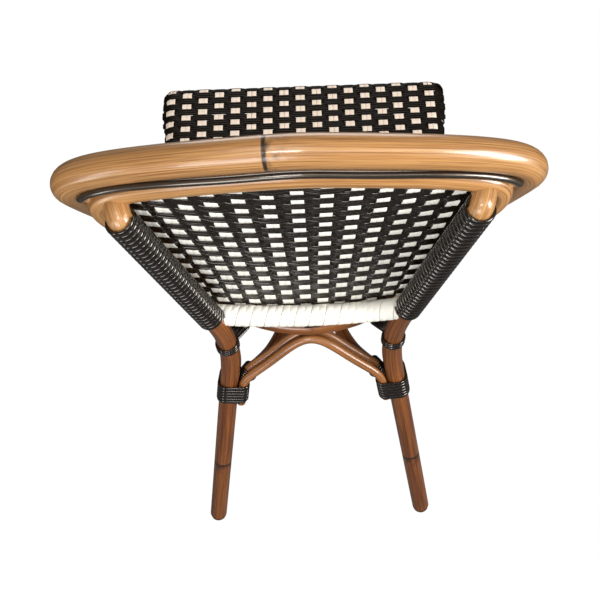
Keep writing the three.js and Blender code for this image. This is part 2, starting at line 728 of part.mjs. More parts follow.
/** The woven seat: a thin plate rolled over the ring at the front and sides. */
function seatWeave() {
  const height = seatSkin + ringRadius + seatWrapDrop;
  const inset = ringRadius + seatSkin - seatEdgeRound;
  const outline = new THREE.Shape(seatOutline(inset, seatCornerRadius - seatEdgeRound));
  const rolled = new THREE.ExtrudeGeometry(outline, {
    depth: height - 2 * seatEdgeRound,
    bevelThickness: seatEdgeRound,
    bevelSize: seatEdgeRound,
    bevelSegments: 2,
  }).translate(0, 0, seatHeight - height + seatEdgeRound);
  const pocket = new THREE.ExtrudeGeometry(new THREE.Shape(seatOutline(0, ringCornerRadius)), {
    depth: height - seatPlate + overrun, bevelEnabled: false,
  }).translate(0, 0, seatHeight - height - overrun);
  const wide = ringFrontHalf + overrun;
  const bareTop = ringHeight + rearBareDrop;
  const bare = block(point(-wide, rearBareBack, 0), point(wide, ringRearBack + overrun, bareTop));
  const woven = solid(rolled).subtract(solid(pocket)).subtract(solid(ringTube(ringRadius + touch)));
  return shell(woven.subtract(solid(bare)));
}

function seatBar(back) {
  const near = Math.min(ringSideAt(back - barDiameter / 2).x, ringSideAt(back + barDiameter / 2).x);
  const half = near - ringRadius * Math.cos(Math.PI / tubeSides) - touch;
  return tube([point(-half, back, ringHeight), point(half, back, ringHeight)], barDiameter, 8);
}

/** The woven back: a thin curved sheet between bottom rail, inner hoop and uprights. */
function backWeave() {
  const columns = 12;
  const rows = 6;
  const arch = archHalf(innerHalfWidth, innerRise, innerTopHeight, innerTopBack, innerSweep, 60);
  const edge = arch.slice(0, -1).map((p, i) => {
    const way = arch[i + 1].clone().sub(p).setY(0).normalize();
    return p.clone().add(point(way.z, 0, -way.x).multiplyScalar(frameRadius + backEdgeGap));
  });
  edge[0].x = 0;
  const highHalf = edge.find((p) => p.x >= uprightAt(p.z).x).x;
  const hoopAt = (x) => {
    const after = Math.max(edge.findIndex((p) => p.x >= Math.abs(x)), 1);
    const before = edge[after - 1];
    const share = (Math.abs(x) - before.x) / (edge[after].x - before.x);
    return before.clone().lerp(edge[after], share).setX(x);
  };
  const lowForward = bottomRailDiameter / 2 + creamThickness + backEdgeGap + backThickness / 2;
  const slab = [];
  const frontGap = wrapRadius + touch + backThickness / 2;
  for (let row = 0; row <= rows; row++) {
    for (let column = 0; column <= columns; column++) {
      const across = 2 * column / columns - 1;
      const lowX = uprightAt(bottomRailHeight).x * across;
      const highX = highHalf * across;
      const low = bottomRailAt(lowX).sub(point(0, lowForward, 0));
      const high = hoopAt(highX);
      const place = low.lerp(high, row / rows);
      const sideLimit = uprightAt(place.z).y - frontGap;
      const sideShare = across ** 4;
      place.y += (Math.min(sideLimit, place.y) - place.y) * sideShare;
      slab.push(place);
    }
  }
  return sheet(slab, columns, rows, backThickness);
}

/** A closed sheet of even thickness in Y from a grid of middle points. */
function sheet(grid, columns, rows, thickness) {
  const positions = [];
  const index = [];
  for (const face of [0.5, -0.5]) {
    for (const p of grid) positions.push(p.x, p.y + face * thickness, p.z);
  }
  const layer = grid.length;
  const at = (row, column, face) => face * layer + row * (columns + 1) + column;
  const quad = (a, b, c, d) => index.push(a, b, c, a, c, d);
  for (let row = 0; row < rows; row++) {
    for (let column = 0; column < columns; column++) {
      for (const face of [0, 1]) {
        const low = [at(row, column, face), at(row, column + 1, face)];
        const high = [at(row + 1, column + 1, face), at(row + 1, column, face)];
        const corners = [...low, ...high];
        quad(...(face ? corners : corners.reverse()));
      }
    }
  }
  for (let column = 0; column < columns; column++) {
    quad(at(0, column, 0), at(0, column + 1, 0), at(0, column + 1, 1), at(0, column, 1));
    quad(at(rows, column, 1), at(rows, column + 1, 1), at(rows, column + 1, 0), at(rows, column, 0));
  }
  for (let row = 0; row < rows; row++) {
    quad(at(row, 0, 1), at(row + 1, 0, 1), at(row + 1, 0, 0), at(row, 0, 0));
    quad(at(row, columns, 0), at(row + 1, columns, 0), at(row + 1, columns, 1), at(row, columns, 1));
  }
  const geometry = new THREE.BufferGeometry();
  geometry.setAttribute('position', new THREE.Float32BufferAttribute(positions, 3));
  geometry.setIndex(index);
  return facingOut(geometry);
}

const rod = (route) => tube(route, rodDiameter, rodSides);

const chair = new THREE.Group();

function add(name, geometry, finish) {
  const mesh = new THREE.Mesh(geometry, new THREE.MeshStandardMaterial(finishes[finish]));
  mesh.name = name;
  chair.add(mesh);
}

add('outer_hoop', tube(mirrored(outerHoopRoute(hoopPieces)), hoopDiameter, 12), 'goldenCane');
add('inner_hoop', tube(mirrored(innerHoopRoute(hoopPieces)), frameDiameter), 'goldenCane');
add('hoop_piping', hoopPiping(), 'blackStrand');
add('back_bottom_rail', bottomRail(), 'brownCane');
add('bottom_rail_wrap', creamWrap(), 'creamStrand');
add('back_weave', backWeave(), 'darkWeave');
add('seat_ring', ringTube(ringRadius), 'brownCane');
add('seat_weave', seatWeave(), 'darkWeave');
add('seat_bar_front', seatBar(frontBarBack), 'brownCane');
add('seat_bar_rear', seatBar(rearBarBack), 'brownCane');

for (const [word, side] of [['left', 1], ['right', -1]]) {
  add(`rear_leg_${word}`, rearLeg(side), 'brownCane');
  add(`front_leg_${word}`, frontLeg(side), 'brownCane');
  add(`rear_glide_${word}`, footGlide(rearLegAt(glideHeight), side), 'glideNylon');
  add(`front_glide_${word}`, footGlide(frontLegAt(glideHeight), side), 'glideNylon');
  add(`upright_wrap_${word}`, uprightWrap(`upright_wrap_${word}`, side), 'blackStrand');
  add(`rear_lashing_${word}`, lashing(`rear_lashing_${word}`, side, rearLegAt, -1), 'blackStrand');
  add(`front_lashing_${word}`, lashing(`front_lashing_${word}`, side, frontLegAt, 1), 'blackStrand');
  add(`rear_knot_${word}`, legKnot(`rear_knot_${word}`, side, rearLegAt, kneeKnotHeight), 'blackStrand');
  add(`front_knot_${word}`, legKnot(`front_knot_${word}`, side, frontLegAt, frontKnotHeight), 'blackStrand');
  add(`seat_tie_${word}`, seatTie(side), 'blackStrand');
  add(`side_arch_outer_${word}`, rod(sideArch(side, rodAngles[3], 1)), 'brownCane');
  add(`side_arch_inner_${word}`, rod(sideArch(side, rodAngles[2], -1)), 'brownCane');
  add(`stretcher_${word}`, tube(stretcherRoute(side), stretcherDiameter, 8), 'brownCane');
  add(`stretcher_knot_${word}`, stretcherKnot(`stretcher_knot_${word}`, side), 'blackStrand');
}
add('rear_arch_outer', rod(rearArch()), 'brownCane');
add('rear_arch_inner', rod(rearArchInner()), 'brownCane');
add('front_arch_outer', rod(frontArch()), 'brownCane');
add('front_arch_inner', rod(frontArchInner()), 'brownCane');

// Centre the chair over the origin, with its feet on the floor
const extent = new THREE.Box3().setFromObject(chair);
chair.position.y = -(extent.min.y + extent.max.y) / 2;

export default chair;
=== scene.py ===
# %% [markdown]
# # Woven bistro chair
#
# This notebook dresses a finished CAD model of a terrace chair: bent metal tubes painted to look
# like cane, bound with glossy strand, with a woven seat and back. The CAD model is the frame, and
# every piece made here takes its place from it. What only the photograph shows, such as the spacing
# of the weave or where a cord ends, is written down as values in the cells. Sizes are in metres.

# %% Load the frame
import math

import bmesh
import bpy
import numpy as np
from mathutils import Matrix, Vector
from mathutils.bvhtree import BVHTree


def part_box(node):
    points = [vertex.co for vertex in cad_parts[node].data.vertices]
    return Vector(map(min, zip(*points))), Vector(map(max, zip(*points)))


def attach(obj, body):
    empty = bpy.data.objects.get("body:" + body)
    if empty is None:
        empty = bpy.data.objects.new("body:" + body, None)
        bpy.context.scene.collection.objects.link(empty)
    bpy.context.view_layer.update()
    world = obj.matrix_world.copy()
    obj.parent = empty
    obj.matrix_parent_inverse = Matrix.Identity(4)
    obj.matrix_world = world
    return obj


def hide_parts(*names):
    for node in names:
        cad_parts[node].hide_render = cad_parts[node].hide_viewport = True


MM = 0.001
SIDES = {"left": 1, "right": -1}
ENDS = ("rear", "front")
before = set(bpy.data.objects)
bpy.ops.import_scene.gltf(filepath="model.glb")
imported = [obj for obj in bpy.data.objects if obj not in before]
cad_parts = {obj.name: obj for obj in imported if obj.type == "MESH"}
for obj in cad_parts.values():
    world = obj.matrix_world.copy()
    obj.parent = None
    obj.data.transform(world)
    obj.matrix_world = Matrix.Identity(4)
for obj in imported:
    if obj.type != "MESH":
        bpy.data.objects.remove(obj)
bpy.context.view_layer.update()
scene = bpy.context.scene

# %% [markdown]
# ## The camera
#
# The photograph looks down on the chair from behind and well above. Its vertical lines run together
# towards the floor, which tells how near the camera stood. The direction, the distance and the focal
# length below were worked out from corners of the chair whose real places are known. A small lens
# shift moves the frame sideways, as the photograph was cropped off its centre.

# %% Camera
CAMERA_PLACE = (-20.7 * MM, 846.5 * MM, 1561.4 * MM)
PITCH_YAW_ROLL = (57.3, -1.1, -1.2)
PHOTO_WIDTH = 600
FOCAL_PIXELS = 963.7
SHIFT_PIXELS = (-34.3, 0.8)
SENSOR_WIDTH = 36
CLIP_END = 20

pitch, yaw, roll = [math.radians(degrees) for degrees in PITCH_YAW_ROLL]
forward = Vector((math.sin(yaw) * math.cos(pitch), -math.cos(yaw) * math.cos(pitch), -math.sin(pitch)))
level = forward.cross(Vector((0, 0, 1))).normalized()
above = level.cross(forward)
right = level * math.cos(roll) + above * math.sin(roll)
up = above * math.cos(roll) - level * math.sin(roll)
camera = bpy.data.objects.new("camera", bpy.data.cameras.new("camera"))
scene.collection.objects.link(camera)
turn = Matrix((right, up, -forward)).transposed().to_4x4()
camera.matrix_world = Matrix.Translation(CAMERA_PLACE) @ turn
camera.data.sensor_width = SENSOR_WIDTH
camera.data.lens = SENSOR_WIDTH * FOCAL_PIXELS / PHOTO_WIDTH
camera.data.shift_x = SHIFT_PIXELS[0] / PHOTO_WIDTH
camera.data.shift_y = SHIFT_PIXELS[1] / PHOTO_WIDTH
camera.data.clip_end = CLIP_END
scene.camera = camera
scene.view_settings.view_transform = "Standard"
print("lens:", round(camera.data.lens, 2), "mm")

# %% [markdown]
# ## Small helpers
#
# Colours are written as the hex values that a screen shows. Blender's shaders work in linear light,
# so one function converts them. Node trees, for materials and for geometry alike, are built with one
# function that adds a node, sets it up and fills its inputs.


# %% Helpers
def linear(hex_colour):
    """An sRGB hex colour as linear red, green, blue and alpha."""
    shares = [int(hex_colour[i:i + 2], 16) / 255 for i in (1, 3, 5)]
    return [s / 12.92 if s <= 0.04045 else ((s + 0.055) / 1.055) ** 2.4 for s in shares] + [1]


def add_node(tree, kind, inputs=None, **settings):
    """Adds a node, sets its properties, and fills its inputs with values or links.

    A node that is given as an input is linked by its first output.
    """
    node = tree.nodes.new(kind)
    for name, value in settings.items():
        setattr(node, name, value)
    for key, value in (inputs or {}).items():
        if isinstance(value, bpy.types.Node):
            value = value.outputs[0]
        if isinstance(value, bpy.types.NodeSocket):
            tree.links.new(value, node.inputs[key])
        else:
            node.inputs[key].default_value = value
    return node


def new_material(name):
    """A material without nodes, and its node tree."""
    material = bpy.data.materials.new(name)
    material.use_nodes = True
    material.node_tree.nodes.clear()
    return material, material.node_tree


# %% [markdown]
# ## Floor, background and light
#
# The photograph is a cut-out on pure white, lit softly from all sides, with a few broad lamps that
# leave long white reflections on the lacquer. The floor and the world are white to the camera only.
# The chair gets a mild fill from the world and little from the floor, so its colours stay as written.

# %% World and floor
WHITE = (1, 1, 1, 1)
WORLD_FILL = 0.2
FLOOR_REACH = 6.0
FLOOR_SHADOW_SHARE = 0.04
FLOOR_DARK = (0.12, 0.12, 0.12, 1)
FLOOR_GLOW = 1.05


def white_world():
    """A mild light from all round that the camera sees as white."""
    world = bpy.data.worlds.new("white_surround")
    world.use_nodes = True
    tree = world.node_tree
    tree.nodes.clear()
    path = add_node(tree, "ShaderNodeLightPath")
    fill = add_node(tree, "ShaderNodeBackground", {"Color": WHITE, "Strength": WORLD_FILL})
    white = add_node(tree, "ShaderNodeBackground", {"Color": WHITE, "Strength": 1.0})
    mix = add_node(tree, "ShaderNodeMixShader", {0: path.outputs["Is Camera Ray"], 1: fill, 2: white})
    add_node(tree, "ShaderNodeOutputWorld", {"Surface": mix})
    scene.world = world


def white_floor_paint():
    """A white studio floor: mostly plain white to the camera, with a faint shadow."""
    material, tree = new_material("white_studio_floor")
    path = add_node(tree, "ShaderNodeLightPath")
    lit = add_node(tree, "ShaderNodeBsdfDiffuse", {"Color": FLOOR_DARK})
    white = add_node(tree, "ShaderNodeEmission", {"Color": WHITE, "Strength": FLOOR_GLOW})
    share = add_node(tree, "ShaderNodeMath", {0: path.outputs["Is Camera Ray"], 1: 1 - FLOOR_SHADOW_SHARE},
                     operation="MULTIPLY")
    mix = add_node(tree, "ShaderNodeMixShader", {0: share, 1: lit, 2: white})
    add_node(tree, "ShaderNodeOutputMaterial", {"Surface": mix})
    return material


white_world()
corners = [(x * FLOOR_REACH, y * FLOOR_REACH, 0) for x, y in ((-1, -1), (1, -1), (1, 1), (-1, 1))]
floor_mesh = bpy.data.meshes.new("floor")
floor_mesh.from_pydata(corners, [], [(0, 1, 2, 3)])
floor_mesh.materials.append(white_floor_paint())
floor = bpy.data.objects.new("floor", floor_mesh)
scene.collection.objects.link(floor)
print("world and floor are in")

# %% Lamps
# Of each soft rectangular lamp: place, size, power
LAMPS = {
    "window": ((-2.3, 1.1, 1.55), (0.9, 1.5), 92),
    "near_lamp": ((0.15, 1.05, 1.85), (0.3, 0.16), 6.5),
    "over_lamp": ((0.35, 0.6, 2.6), (1.0, 0.6), 5),
    "strip_lamp": ((-0.55, 1.05, 1.75), (0.8, 0.12), 2),
    "rear_lamp": ((0.7, 2.2, 1.15), (1.2, 0.9), 27),
    "left_lamp": ((1.6, 1.3, 0.5), (0.3, 1.0), 6),
    "front_lamp": ((0.0, -2.4, 1.2), (1.8, 1.2), 22),
}
LAMP_AIM = Vector((0, 0, 0.55))

for name, (place, size, power) in LAMPS.items():
    data = bpy.data.lights.new(name, "AREA")
    data.shape = "RECTANGLE"
    data.size, data.size_y = size
    data.energy = power
    lamp = bpy.data.objects.new(name, data)
    scene.collection.objects.link(lamp)
    lamp.location = place
    lamp.rotation_euler = (LAMP_AIM - Vector(place)).to_track_quat("-Z", "Y").to_euler()
print("lamps:", ", ".join(LAMPS))

# %% [markdown]
# ## Reading a tube back from the frame
#
# The CAD tubes have 6 to 12 flat sides, enough for sizes and collision. For the eye each is swept
# again as a round tube along the same centre line. The line is read from the CAD mesh: starting at
# the flat end, each ring of corners is joined by edges to the next, and a ring's mean is a point of
# the line. The line is then cut into short even pieces and relaxed, which rounds its bends.

# %% Centre lines
LINE_PIECE = 6 * MM
FINE_PIECE = 1 * MM
SHORT_PIECE = 3 * MM
RELAX_ROUNDS = 8
ROUND_END_SPREAD = 0.15
MIDDLE_PLANE = 0.1 * MM


def merged_corners(node):
    """A CAD node's corners, merged, with the neighbours of each and the flat faces at its ends."""
    mesh = bmesh.new()
    mesh.from_mesh(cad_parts[node].data)
    bmesh.ops.remove_doubles(mesh, verts=mesh.verts, dist=1e-5)
    places = np.array([v.co[:] for v in mesh.verts])
    neighbours = [[e.other_vert(v).index for e in v.link_edges] for v in mesh.verts]
    flats = {}
    for face in mesh.faces:
        key = tuple(np.round(face.normal, 2)) + (round(face.normal.dot(face.verts[0].co), 4),)
        flats.setdefault(key, set()).update(v.index for v in face.verts)
    mesh.free()
    return places, neighbours, list(flats.values())


def rings_from(start, places, neighbours):
    """The means of the rings of corners, from the ring start onwards."""
    seen = set(start)
    ring = sorted(start)
    line = []
    while ring:
        line.append(places[ring].mean(axis=0))
        ring = sorted({n for i in ring for n in neighbours[i]} - seen)
        seen.update(ring)
    return np.array(line)


def centre_line(node, sides):
    """Centre line of a CAD tube with flat ends, from its lower or -X end, and its radius."""
    places, neighbours, flats = merged_corners(node)
    ends = []
    for flat in flats:
        flat = sorted(flat)
        middle = places[flat].mean(axis=0)
        reach = np.linalg.norm(places[flat] - middle, axis=1)
        if len(flat) == sides and np.ptp(reach) < ROUND_END_SPREAD * reach.mean():
            ends.append((tuple(np.round(middle[[2, 0]], 3)), flat, reach.mean()))
    ends.sort()
    return rings_from(ends[0][1], places, neighbours), ends[-1][2]


def ring_line(node, sides):
    """Centre line of a closed CAD ring that is the same on both sides, from its rear middle round."""
    places, neighbours, _ = merged_corners(node)
    start = list(np.argsort(np.abs(places[:, 0]) + 10 * (places[:, 1] < 0))[:sides])
    right_side = set(np.flatnonzero(places[:, 0] < -MIDDLE_PLANE))
    left_neighbours = [[n for n in near if n not in right_side] for near in neighbours]
    half = rings_from(start, places, left_neighbours)
    radius = np.linalg.norm(places[start] - places[start].mean(axis=0), axis=1).mean()
    return np.concatenate([half, half[:0:-1] * (-1, 1, 1)]), radius


def unit(vector):
    return vector / np.linalg.norm(vector)


def lengths_along(line):
    """How far along a line each of its points lies."""
    return np.concatenate([[0], np.cumsum(np.linalg.norm(np.diff(line, axis=0), axis=1))])


def points_at(line, measure, values):
    """The places on a line where a measure that rises along it has the given values."""
    return np.stack([np.interp(values, measure, line[:, k]) for k in range(3)], axis=-1)


def even_pieces(line, piece):
    """The same line cut into even pieces of about a given length."""
    along = lengths_along(line)
    count = max(int(round(along[-1] / piece)), 2)
    return points_at(line, along, np.linspace(0, along[-1], count + 1))


def relaxed(line, rounds=RELAX_ROUNDS):
    """The line with its bends rounded. Its ends stay."""
    line = line.copy()
    for _ in range(rounds):
        line[1:-1] = 0.25 * line[:-2] + 0.5 * line[1:-1] + 0.25 * line[2:]
    return line


def nearest(line, place):
    """The place on a line nearest to another place."""
    fine = even_pieces(line, FINE_PIECE)
    return fine[np.argmin(np.linalg.norm(fine - place, axis=1))]


# %% [markdown]
# ## A tree that bends a tube
#
# Each tube is made by the same Geometry Nodes tree: a circle swept along the centre line. The tree
# also keeps the place of every point in the straight tube it was bent from, as the attribute
# `straight`: distance along the tube first, then the two coordinates across it. Grain that is painted
# by that attribute runs along the tube and follows every bend, as real cane does.

# %% Geometry trees
TUBE_CREASE = math.radians(50)


def new_tree(name, **inputs):
    """An empty Geometry Nodes tree with named inputs, and its input and output nodes."""
    tree = bpy.data.node_groups.new(name, "GeometryNodeTree")
    for socket, kind in {"Geometry": "Geometry", **inputs}.items():
        tree.interface.new_socket(socket, in_out="INPUT", socket_type="NodeSocket" + kind)
    tree.interface.new_socket("Geometry", in_out="OUTPUT", socket_type="NodeSocketGeometry")
    return tree, add_node(tree, "NodeGroupInput"), add_node(tree, "NodeGroupOutput")


def close_tree(tree, given, result, geometry, crease):
    """Smooth shading between shallow edges, real geometry and the material, as every tree ends."""
    angle = add_node(tree, "GeometryNodeInputMeshEdgeAngle")
    sharp = add_node(tree, "FunctionNodeCompare", {"A": angle.outputs["Unsigned Angle"], "B": crease},
                     data_type="FLOAT", operation="GREATER_THAN")
    smooth = add_node(tree, "GeometryNodeSetShadeSmooth", {"Geometry": geometry}, domain="FACE")
    creased = add_node(tree, "GeometryNodeSetShadeSmooth",
                       {"Geometry": smooth, "Selection": sharp, "Shade Smooth": False}, domain="EDGE")
    real = add_node(tree, "GeometryNodeRealizeInstances", {"Geometry": creased})
    coated = add_node(tree, "GeometryNodeSetMaterial",
                      {"Geometry": real, "Material": given.outputs["Material"]})
    tree.links.new(coated.outputs[0], result.inputs["Geometry"])


def kept(tree, geometry, value, kind):
    """Captures a field on the points of a curve and returns the curve and the captured field."""
    capture = add_node(tree, "GeometryNodeCaptureAttribute", {"Geometry": geometry}, domain="POINT")
    capture.capture_items.new(kind, "kept")
    tree.links.new(value, capture.inputs[1])
    return capture.outputs[0], capture.outputs[1]


def sweep(tree, path, profile):
    """Sweeps a profile along a path and stores where each point lay in the straight piece."""
    length = add_node(tree, "GeometryNodeSplineParameter").outputs["Length"]
    path, along = kept(tree, path, length, "FLOAT")
    place = add_node(tree, "GeometryNodeInputPosition").outputs[0]
    profile, across = kept(tree, profile, place, "VECTOR")
    swept = add_node(tree, "GeometryNodeCurveToMesh",
                     {"Curve": path, "Profile Curve": profile, "Fill Caps": True})
    parts = add_node(tree, "ShaderNodeSeparateXYZ", {0: across})
    straight = add_node(tree, "ShaderNodeCombineXYZ",
                        {"X": along, "Y": parts.outputs["X"], "Z": parts.outputs["Y"]})
    return add_node(tree, "GeometryNodeStoreNamedAttribute",
                    {"Geometry": swept, "Name": "straight", "Value": straight},
                    data_type="FLOAT_VECTOR", domain="POINT")


def tube_tree():
    """The tree that sweeps a round tube along a polyline."""
    tree, given, result = new_tree("bent_tube", Radius="Float", Sides="Int", Material="Material")
    path = add_node(tree, "GeometryNodeMeshToCurve", {"Mesh": given})
    circle = add_node(tree, "GeometryNodeCurvePrimitiveCircle",
                      {"Resolution": given.outputs["Sides"], "Radius": given.outputs["Radius"]})
    close_tree(tree, given, result, sweep(tree, path, circle), TUBE_CREASE)
    return tree


BENT_TUBE = tube_tree()


def run_tree(tree, mesh, name, **values):
    """Runs a tree on a mesh and returns the result as a plain mesh object."""
    source = bpy.data.objects.new(name + "_path", mesh)
    scene.collection.objects.link(source)
    modifier = source.modifiers.new(tree.name, "NODES")
    modifier.node_group = tree
    for item in tree.interface.items_tree:
        if item.item_type == "SOCKET" and item.in_out == "INPUT" and item.name in values:
            modifier[item.identifier] = values[item.name]
    depsgraph = bpy.context.evaluated_depsgraph_get()
    made = bpy.data.meshes.new_from_object(source.evaluated_get(depsgraph), preserve_all_data_layers=True,
                                           depsgraph=depsgraph)
    bpy.data.objects.remove(source)
    piece = bpy.data.objects.new(name, made)
    made.name = name
    scene.collection.objects.link(piece)
    return piece


def path_mesh(lines, closed=False):
    """A mesh of polylines, one edge between each two neighbouring points."""
    mesh = bpy.data.meshes.new("path")
    points = [tuple(p) for line in lines for p in line]
    edges = []
    start = 0
    for line in lines:
        edges += [(start + i, start + i + 1) for i in range(len(line) - 1)]
        if closed:
            edges.append((start + len(line) - 1, start))
        start += len(line)
    mesh.from_pydata(points, edges, [])
    return mesh


def settle(piece, node):
    """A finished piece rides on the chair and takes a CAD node's place."""
    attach(piece, "root")
    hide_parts(node)
    print(piece.name, "faces:", len(piece.data.polygons))


# %% [markdown]
# ## Painted cane
#
# The frame is aluminium tube with a powder coat, printed with fine cane grain and sealed with clear
# lacquer. Seen near, the fibres are hair-fine, run along the tube and are a little darker or lighter
# than their ground, with a few broad streaks. The clear coat gives a soft, long white reflection.
# Real cane has joints every few hundred millimetres, and the paint copies them: a dark ring, with a
# brown smudge on one side, as if scorched by a flame.
#
# The grain has three layers: streaks 3.8 mm across and 400 mm long, lines 1.5 mm across and 140 mm
# long, and fibres 0.7 mm across and 60 mm long.

# %% Cane paint
FIRST = 6
SECOND = 7
MIXED = 2
# Of each layer: cells per metre along and across, detail, noise where it starts and is full, strength
GRAIN = ((2.5, 260, 2, 0.35, 0.7, 1.0), (7, 660, 2, 0.52, 0.66, 0.75), (16, 1400, 3, 0.45, 0.75, 1.0))
FIBRE_HEIGHT = 0.15 * MM
JOINT_LINE = 1.4 * MM
JOINT_FADE = 2.6 * MM
JOINT_GROOVE = 3 * MM
GROOVE_DEPTH = 0.8 * MM
RING_STRENGTH = 0.95
SMUDGE_REACH = 26 * MM
SMUDGE_STRENGTH = 0.8
SMUDGES_PER_METRE = 80


def straight_noise(tree, along, across, detail):
    """Noise with so many cells per metre along and across the straight piece."""
    straight = add_node(tree, "ShaderNodeAttribute", attribute_name="straight").outputs["Vector"]
    place = add_node(tree, "ShaderNodeMapping", {"Vector": straight, "Scale": (along, across, across)})
    return add_node(tree, "ShaderNodeTexNoise", {"Vector": place, "Scale": 1, "Detail": detail})


def scorch(tree):
    """How much of the joint's dark paint shows: the ring itself and the smudge on one side of it."""
    joint = add_node(tree, "ShaderNodeAttribute", attribute_name="joint").outputs["Fac"]
    away = add_node(tree, "ShaderNodeMath", {0: joint}, operation="ABSOLUTE")
    ring = add_node(tree, "ShaderNodeMapRange",
                    {0: away, 1: JOINT_LINE, 2: JOINT_FADE, 3: RING_STRENGTH, 4: 0.0})
    smudge = add_node(tree, "ShaderNodeMapRange",
                      {0: joint, 1: JOINT_LINE, 2: SMUDGE_REACH, 3: SMUDGE_STRENGTH, 4: 0.0})
    noise = straight_noise(tree, SMUDGES_PER_METRE, SMUDGES_PER_METRE, 3)
    patches = add_node(tree, "ShaderNodeMapRange", {0: noise, 1: 0.42, 2: 0.62})
    behind = add_node(tree, "ShaderNodeMath", {0: joint, 1: 0.0}, operation="GREATER_THAN")
    for other, operation in ((patches, "MULTIPLY"), (behind, "MULTIPLY"), (ring, "MAXIMUM")):
        smudge = add_node(tree, "ShaderNodeMath", {0: smudge, 1: other}, operation=operation)
    return smudge, away


def cane_paint(name, ground, fibre, pale, ring):
    """Powder coat printed with cane grain under a satin lacquer."""
    material, tree = new_material(name)
    layers = []
    for paint, (along, across, detail, start, full, strength) in zip((pale, fibre, fibre), GRAIN):
        noise = straight_noise(tree, along, across, detail)
        share = add_node(tree, "ShaderNodeMapRange", {0: noise, 1: start, 2: full, 3: 0.0, 4: strength})
        layers.append((share, paint))
    dark, away = scorch(tree)
    colour = linear(ground)
    for share, paint in (*layers, (dark, ring)):
        colour = add_node(tree, "ShaderNodeMix", {"Factor": share, FIRST: colour, SECOND: linear(paint)},
                          data_type="RGBA").outputs[MIXED]
    rough = add_node(tree, "ShaderNodeMapRange", {0: noise, 1: 0.3, 2: 0.7, 3: 0.3, 4: 0.42})
    bump = add_node(tree, "ShaderNodeBump", {"Strength": 0.3, "Distance": FIBRE_HEIGHT, "Height": noise})
    groove = add_node(tree, "ShaderNodeMapRange", {0: away, 1: 0.0, 2: JOINT_GROOVE})
    dent = add_node(tree, "ShaderNodeBump",
                    {"Strength": 0.8, "Distance": GROOVE_DEPTH, "Height": groove, "Normal": bump})
    shader = add_node(tree, "ShaderNodeBsdfPrincipled",
                      {"Base Color": colour, "Roughness": rough, "IOR": 1.5, "Coat Weight": 0.5,
                       "Coat Roughness": 0.14, "Normal": dent})
    add_node(tree, "ShaderNodeOutputMaterial", {"Surface": shader})
    return material


GOLDEN_CANE = cane_paint("golden_cane_powder_coat", "#AC7A45", "#7E5227", "#C39560", "#1A110B")
BROWN_CANE = cane_paint("brown_cane_powder_coat", "#703A18", "#3C1D0B", "#935A28", "#140B06")
# The arch rods under the seat get a lighter copy of the brown paint: painted light that makes up for the
# shade the seat casts on them.
LIT_ROD_CANE = cane_paint("brown_cane_powder_coat_painted_light", "#87532D", "#4C2812", "#AC743F", "#170D07")

# %% Tubes of the frame
# Of each kind of tube: flat sides of the CAD tube, sides of the visible tube, paint
TUBE_KINDS = {
    "outer_hoop": (12, 40, GOLDEN_CANE),
    "inner_hoop": (10, 32, GOLDEN_CANE),
    "rail": (10, 24, GOLDEN_CANE),
    "bar": (8, 20, BROWN_CANE),
    "leg": (12, 32, BROWN_CANE),
    "stretcher": (8, 24, BROWN_CANE),
    "arch": (6, 20, LIT_ROD_CANE),
}
TUBES = ["outer_hoop", "inner_hoop", "back_bottom_rail", "seat_bar_front", "seat_bar_rear"]
TUBES += [f"{end}_arch_{rod}" for end in ENDS for rod in ("outer", "inner")]
TUBES += [f"{tube}_{side}" for side in SIDES
          for tube in ("rear_leg", "front_leg", "stretcher", "side_arch_outer", "side_arch_inner")]
LINES = {}
RADII = {}
JOINT_HEIGHT = 160 * MM
RAIL_JOINT_OUT = 30 * MM
RAIL_JOINT_SPACE = 560 * MM
NO_JOINT = 1.0
BROWN_TO = 769 * MM


def joint_places(node, line):
    """Where the painted joints of a tube lie along it: near the floor on legs, mid-rail on the hoop."""
    along = lengths_along(line)
    if "leg" in node:
        return [np.interp(JOINT_HEIGHT, line[:, 2], along)]
    if node == "outer_hoop":
        middle = along[-1] / 2 + RAIL_JOINT_OUT
        return [middle, middle - RAIL_JOINT_SPACE, middle + RAIL_JOINT_SPACE]
    return []


def mark_joints(piece, places):
    """Stores each point's distance along the tube from the nearest joint, below zero past it."""
    count = len(piece.data.vertices)
    straight = np.zeros(count * 3, np.float32)
    piece.data.attributes["straight"].data.foreach_get("vector", straight)
    apart = np.full(count, NO_JOINT)
    for place in places:
        from_here = place - straight[::3]
        apart = np.where(np.abs(from_here) < np.abs(apart), from_here, apart)
    distances = piece.data.attributes.new("joint", "FLOAT", "POINT")
    distances.data.foreach_set("value", apart.astype(np.float32))


def bend_tube(name, node, line, radius, around, paint, joints=(), closed=False):
    """A round painted tube along a line, in the place of a CAD node."""
    piece = run_tree(BENT_TUBE, path_mesh([line], closed), name, Radius=float(radius), Sides=around,
                     Material=paint)
    mark_joints(piece, joints)
    settle(piece, node)


for node in TUBES:
    flat_sides, around, paint = next(TUBE_KINDS[kind] for kind in TUBE_KINDS if kind in node)
    line, radius = centre_line(node, flat_sides)
    line = relaxed(even_pieces(line, LINE_PIECE))
    LINES[node] = line
    RADII[node] = radius
    if "rear_leg" in node:
        line = line[line[:, 2] < BROWN_TO]
    bend_tube(node + "_tube", node, line, radius, around, paint, joint_places(node, line))

# %% [markdown]
# The hoops, the bottom rail and the tops of the uprights have the golden paint. The joint between
# the two paints of an upright is under the black cord. Its top bends to meet the inner hoop from
# below, and a short welded stub fills the corner between it and the outer hoop.

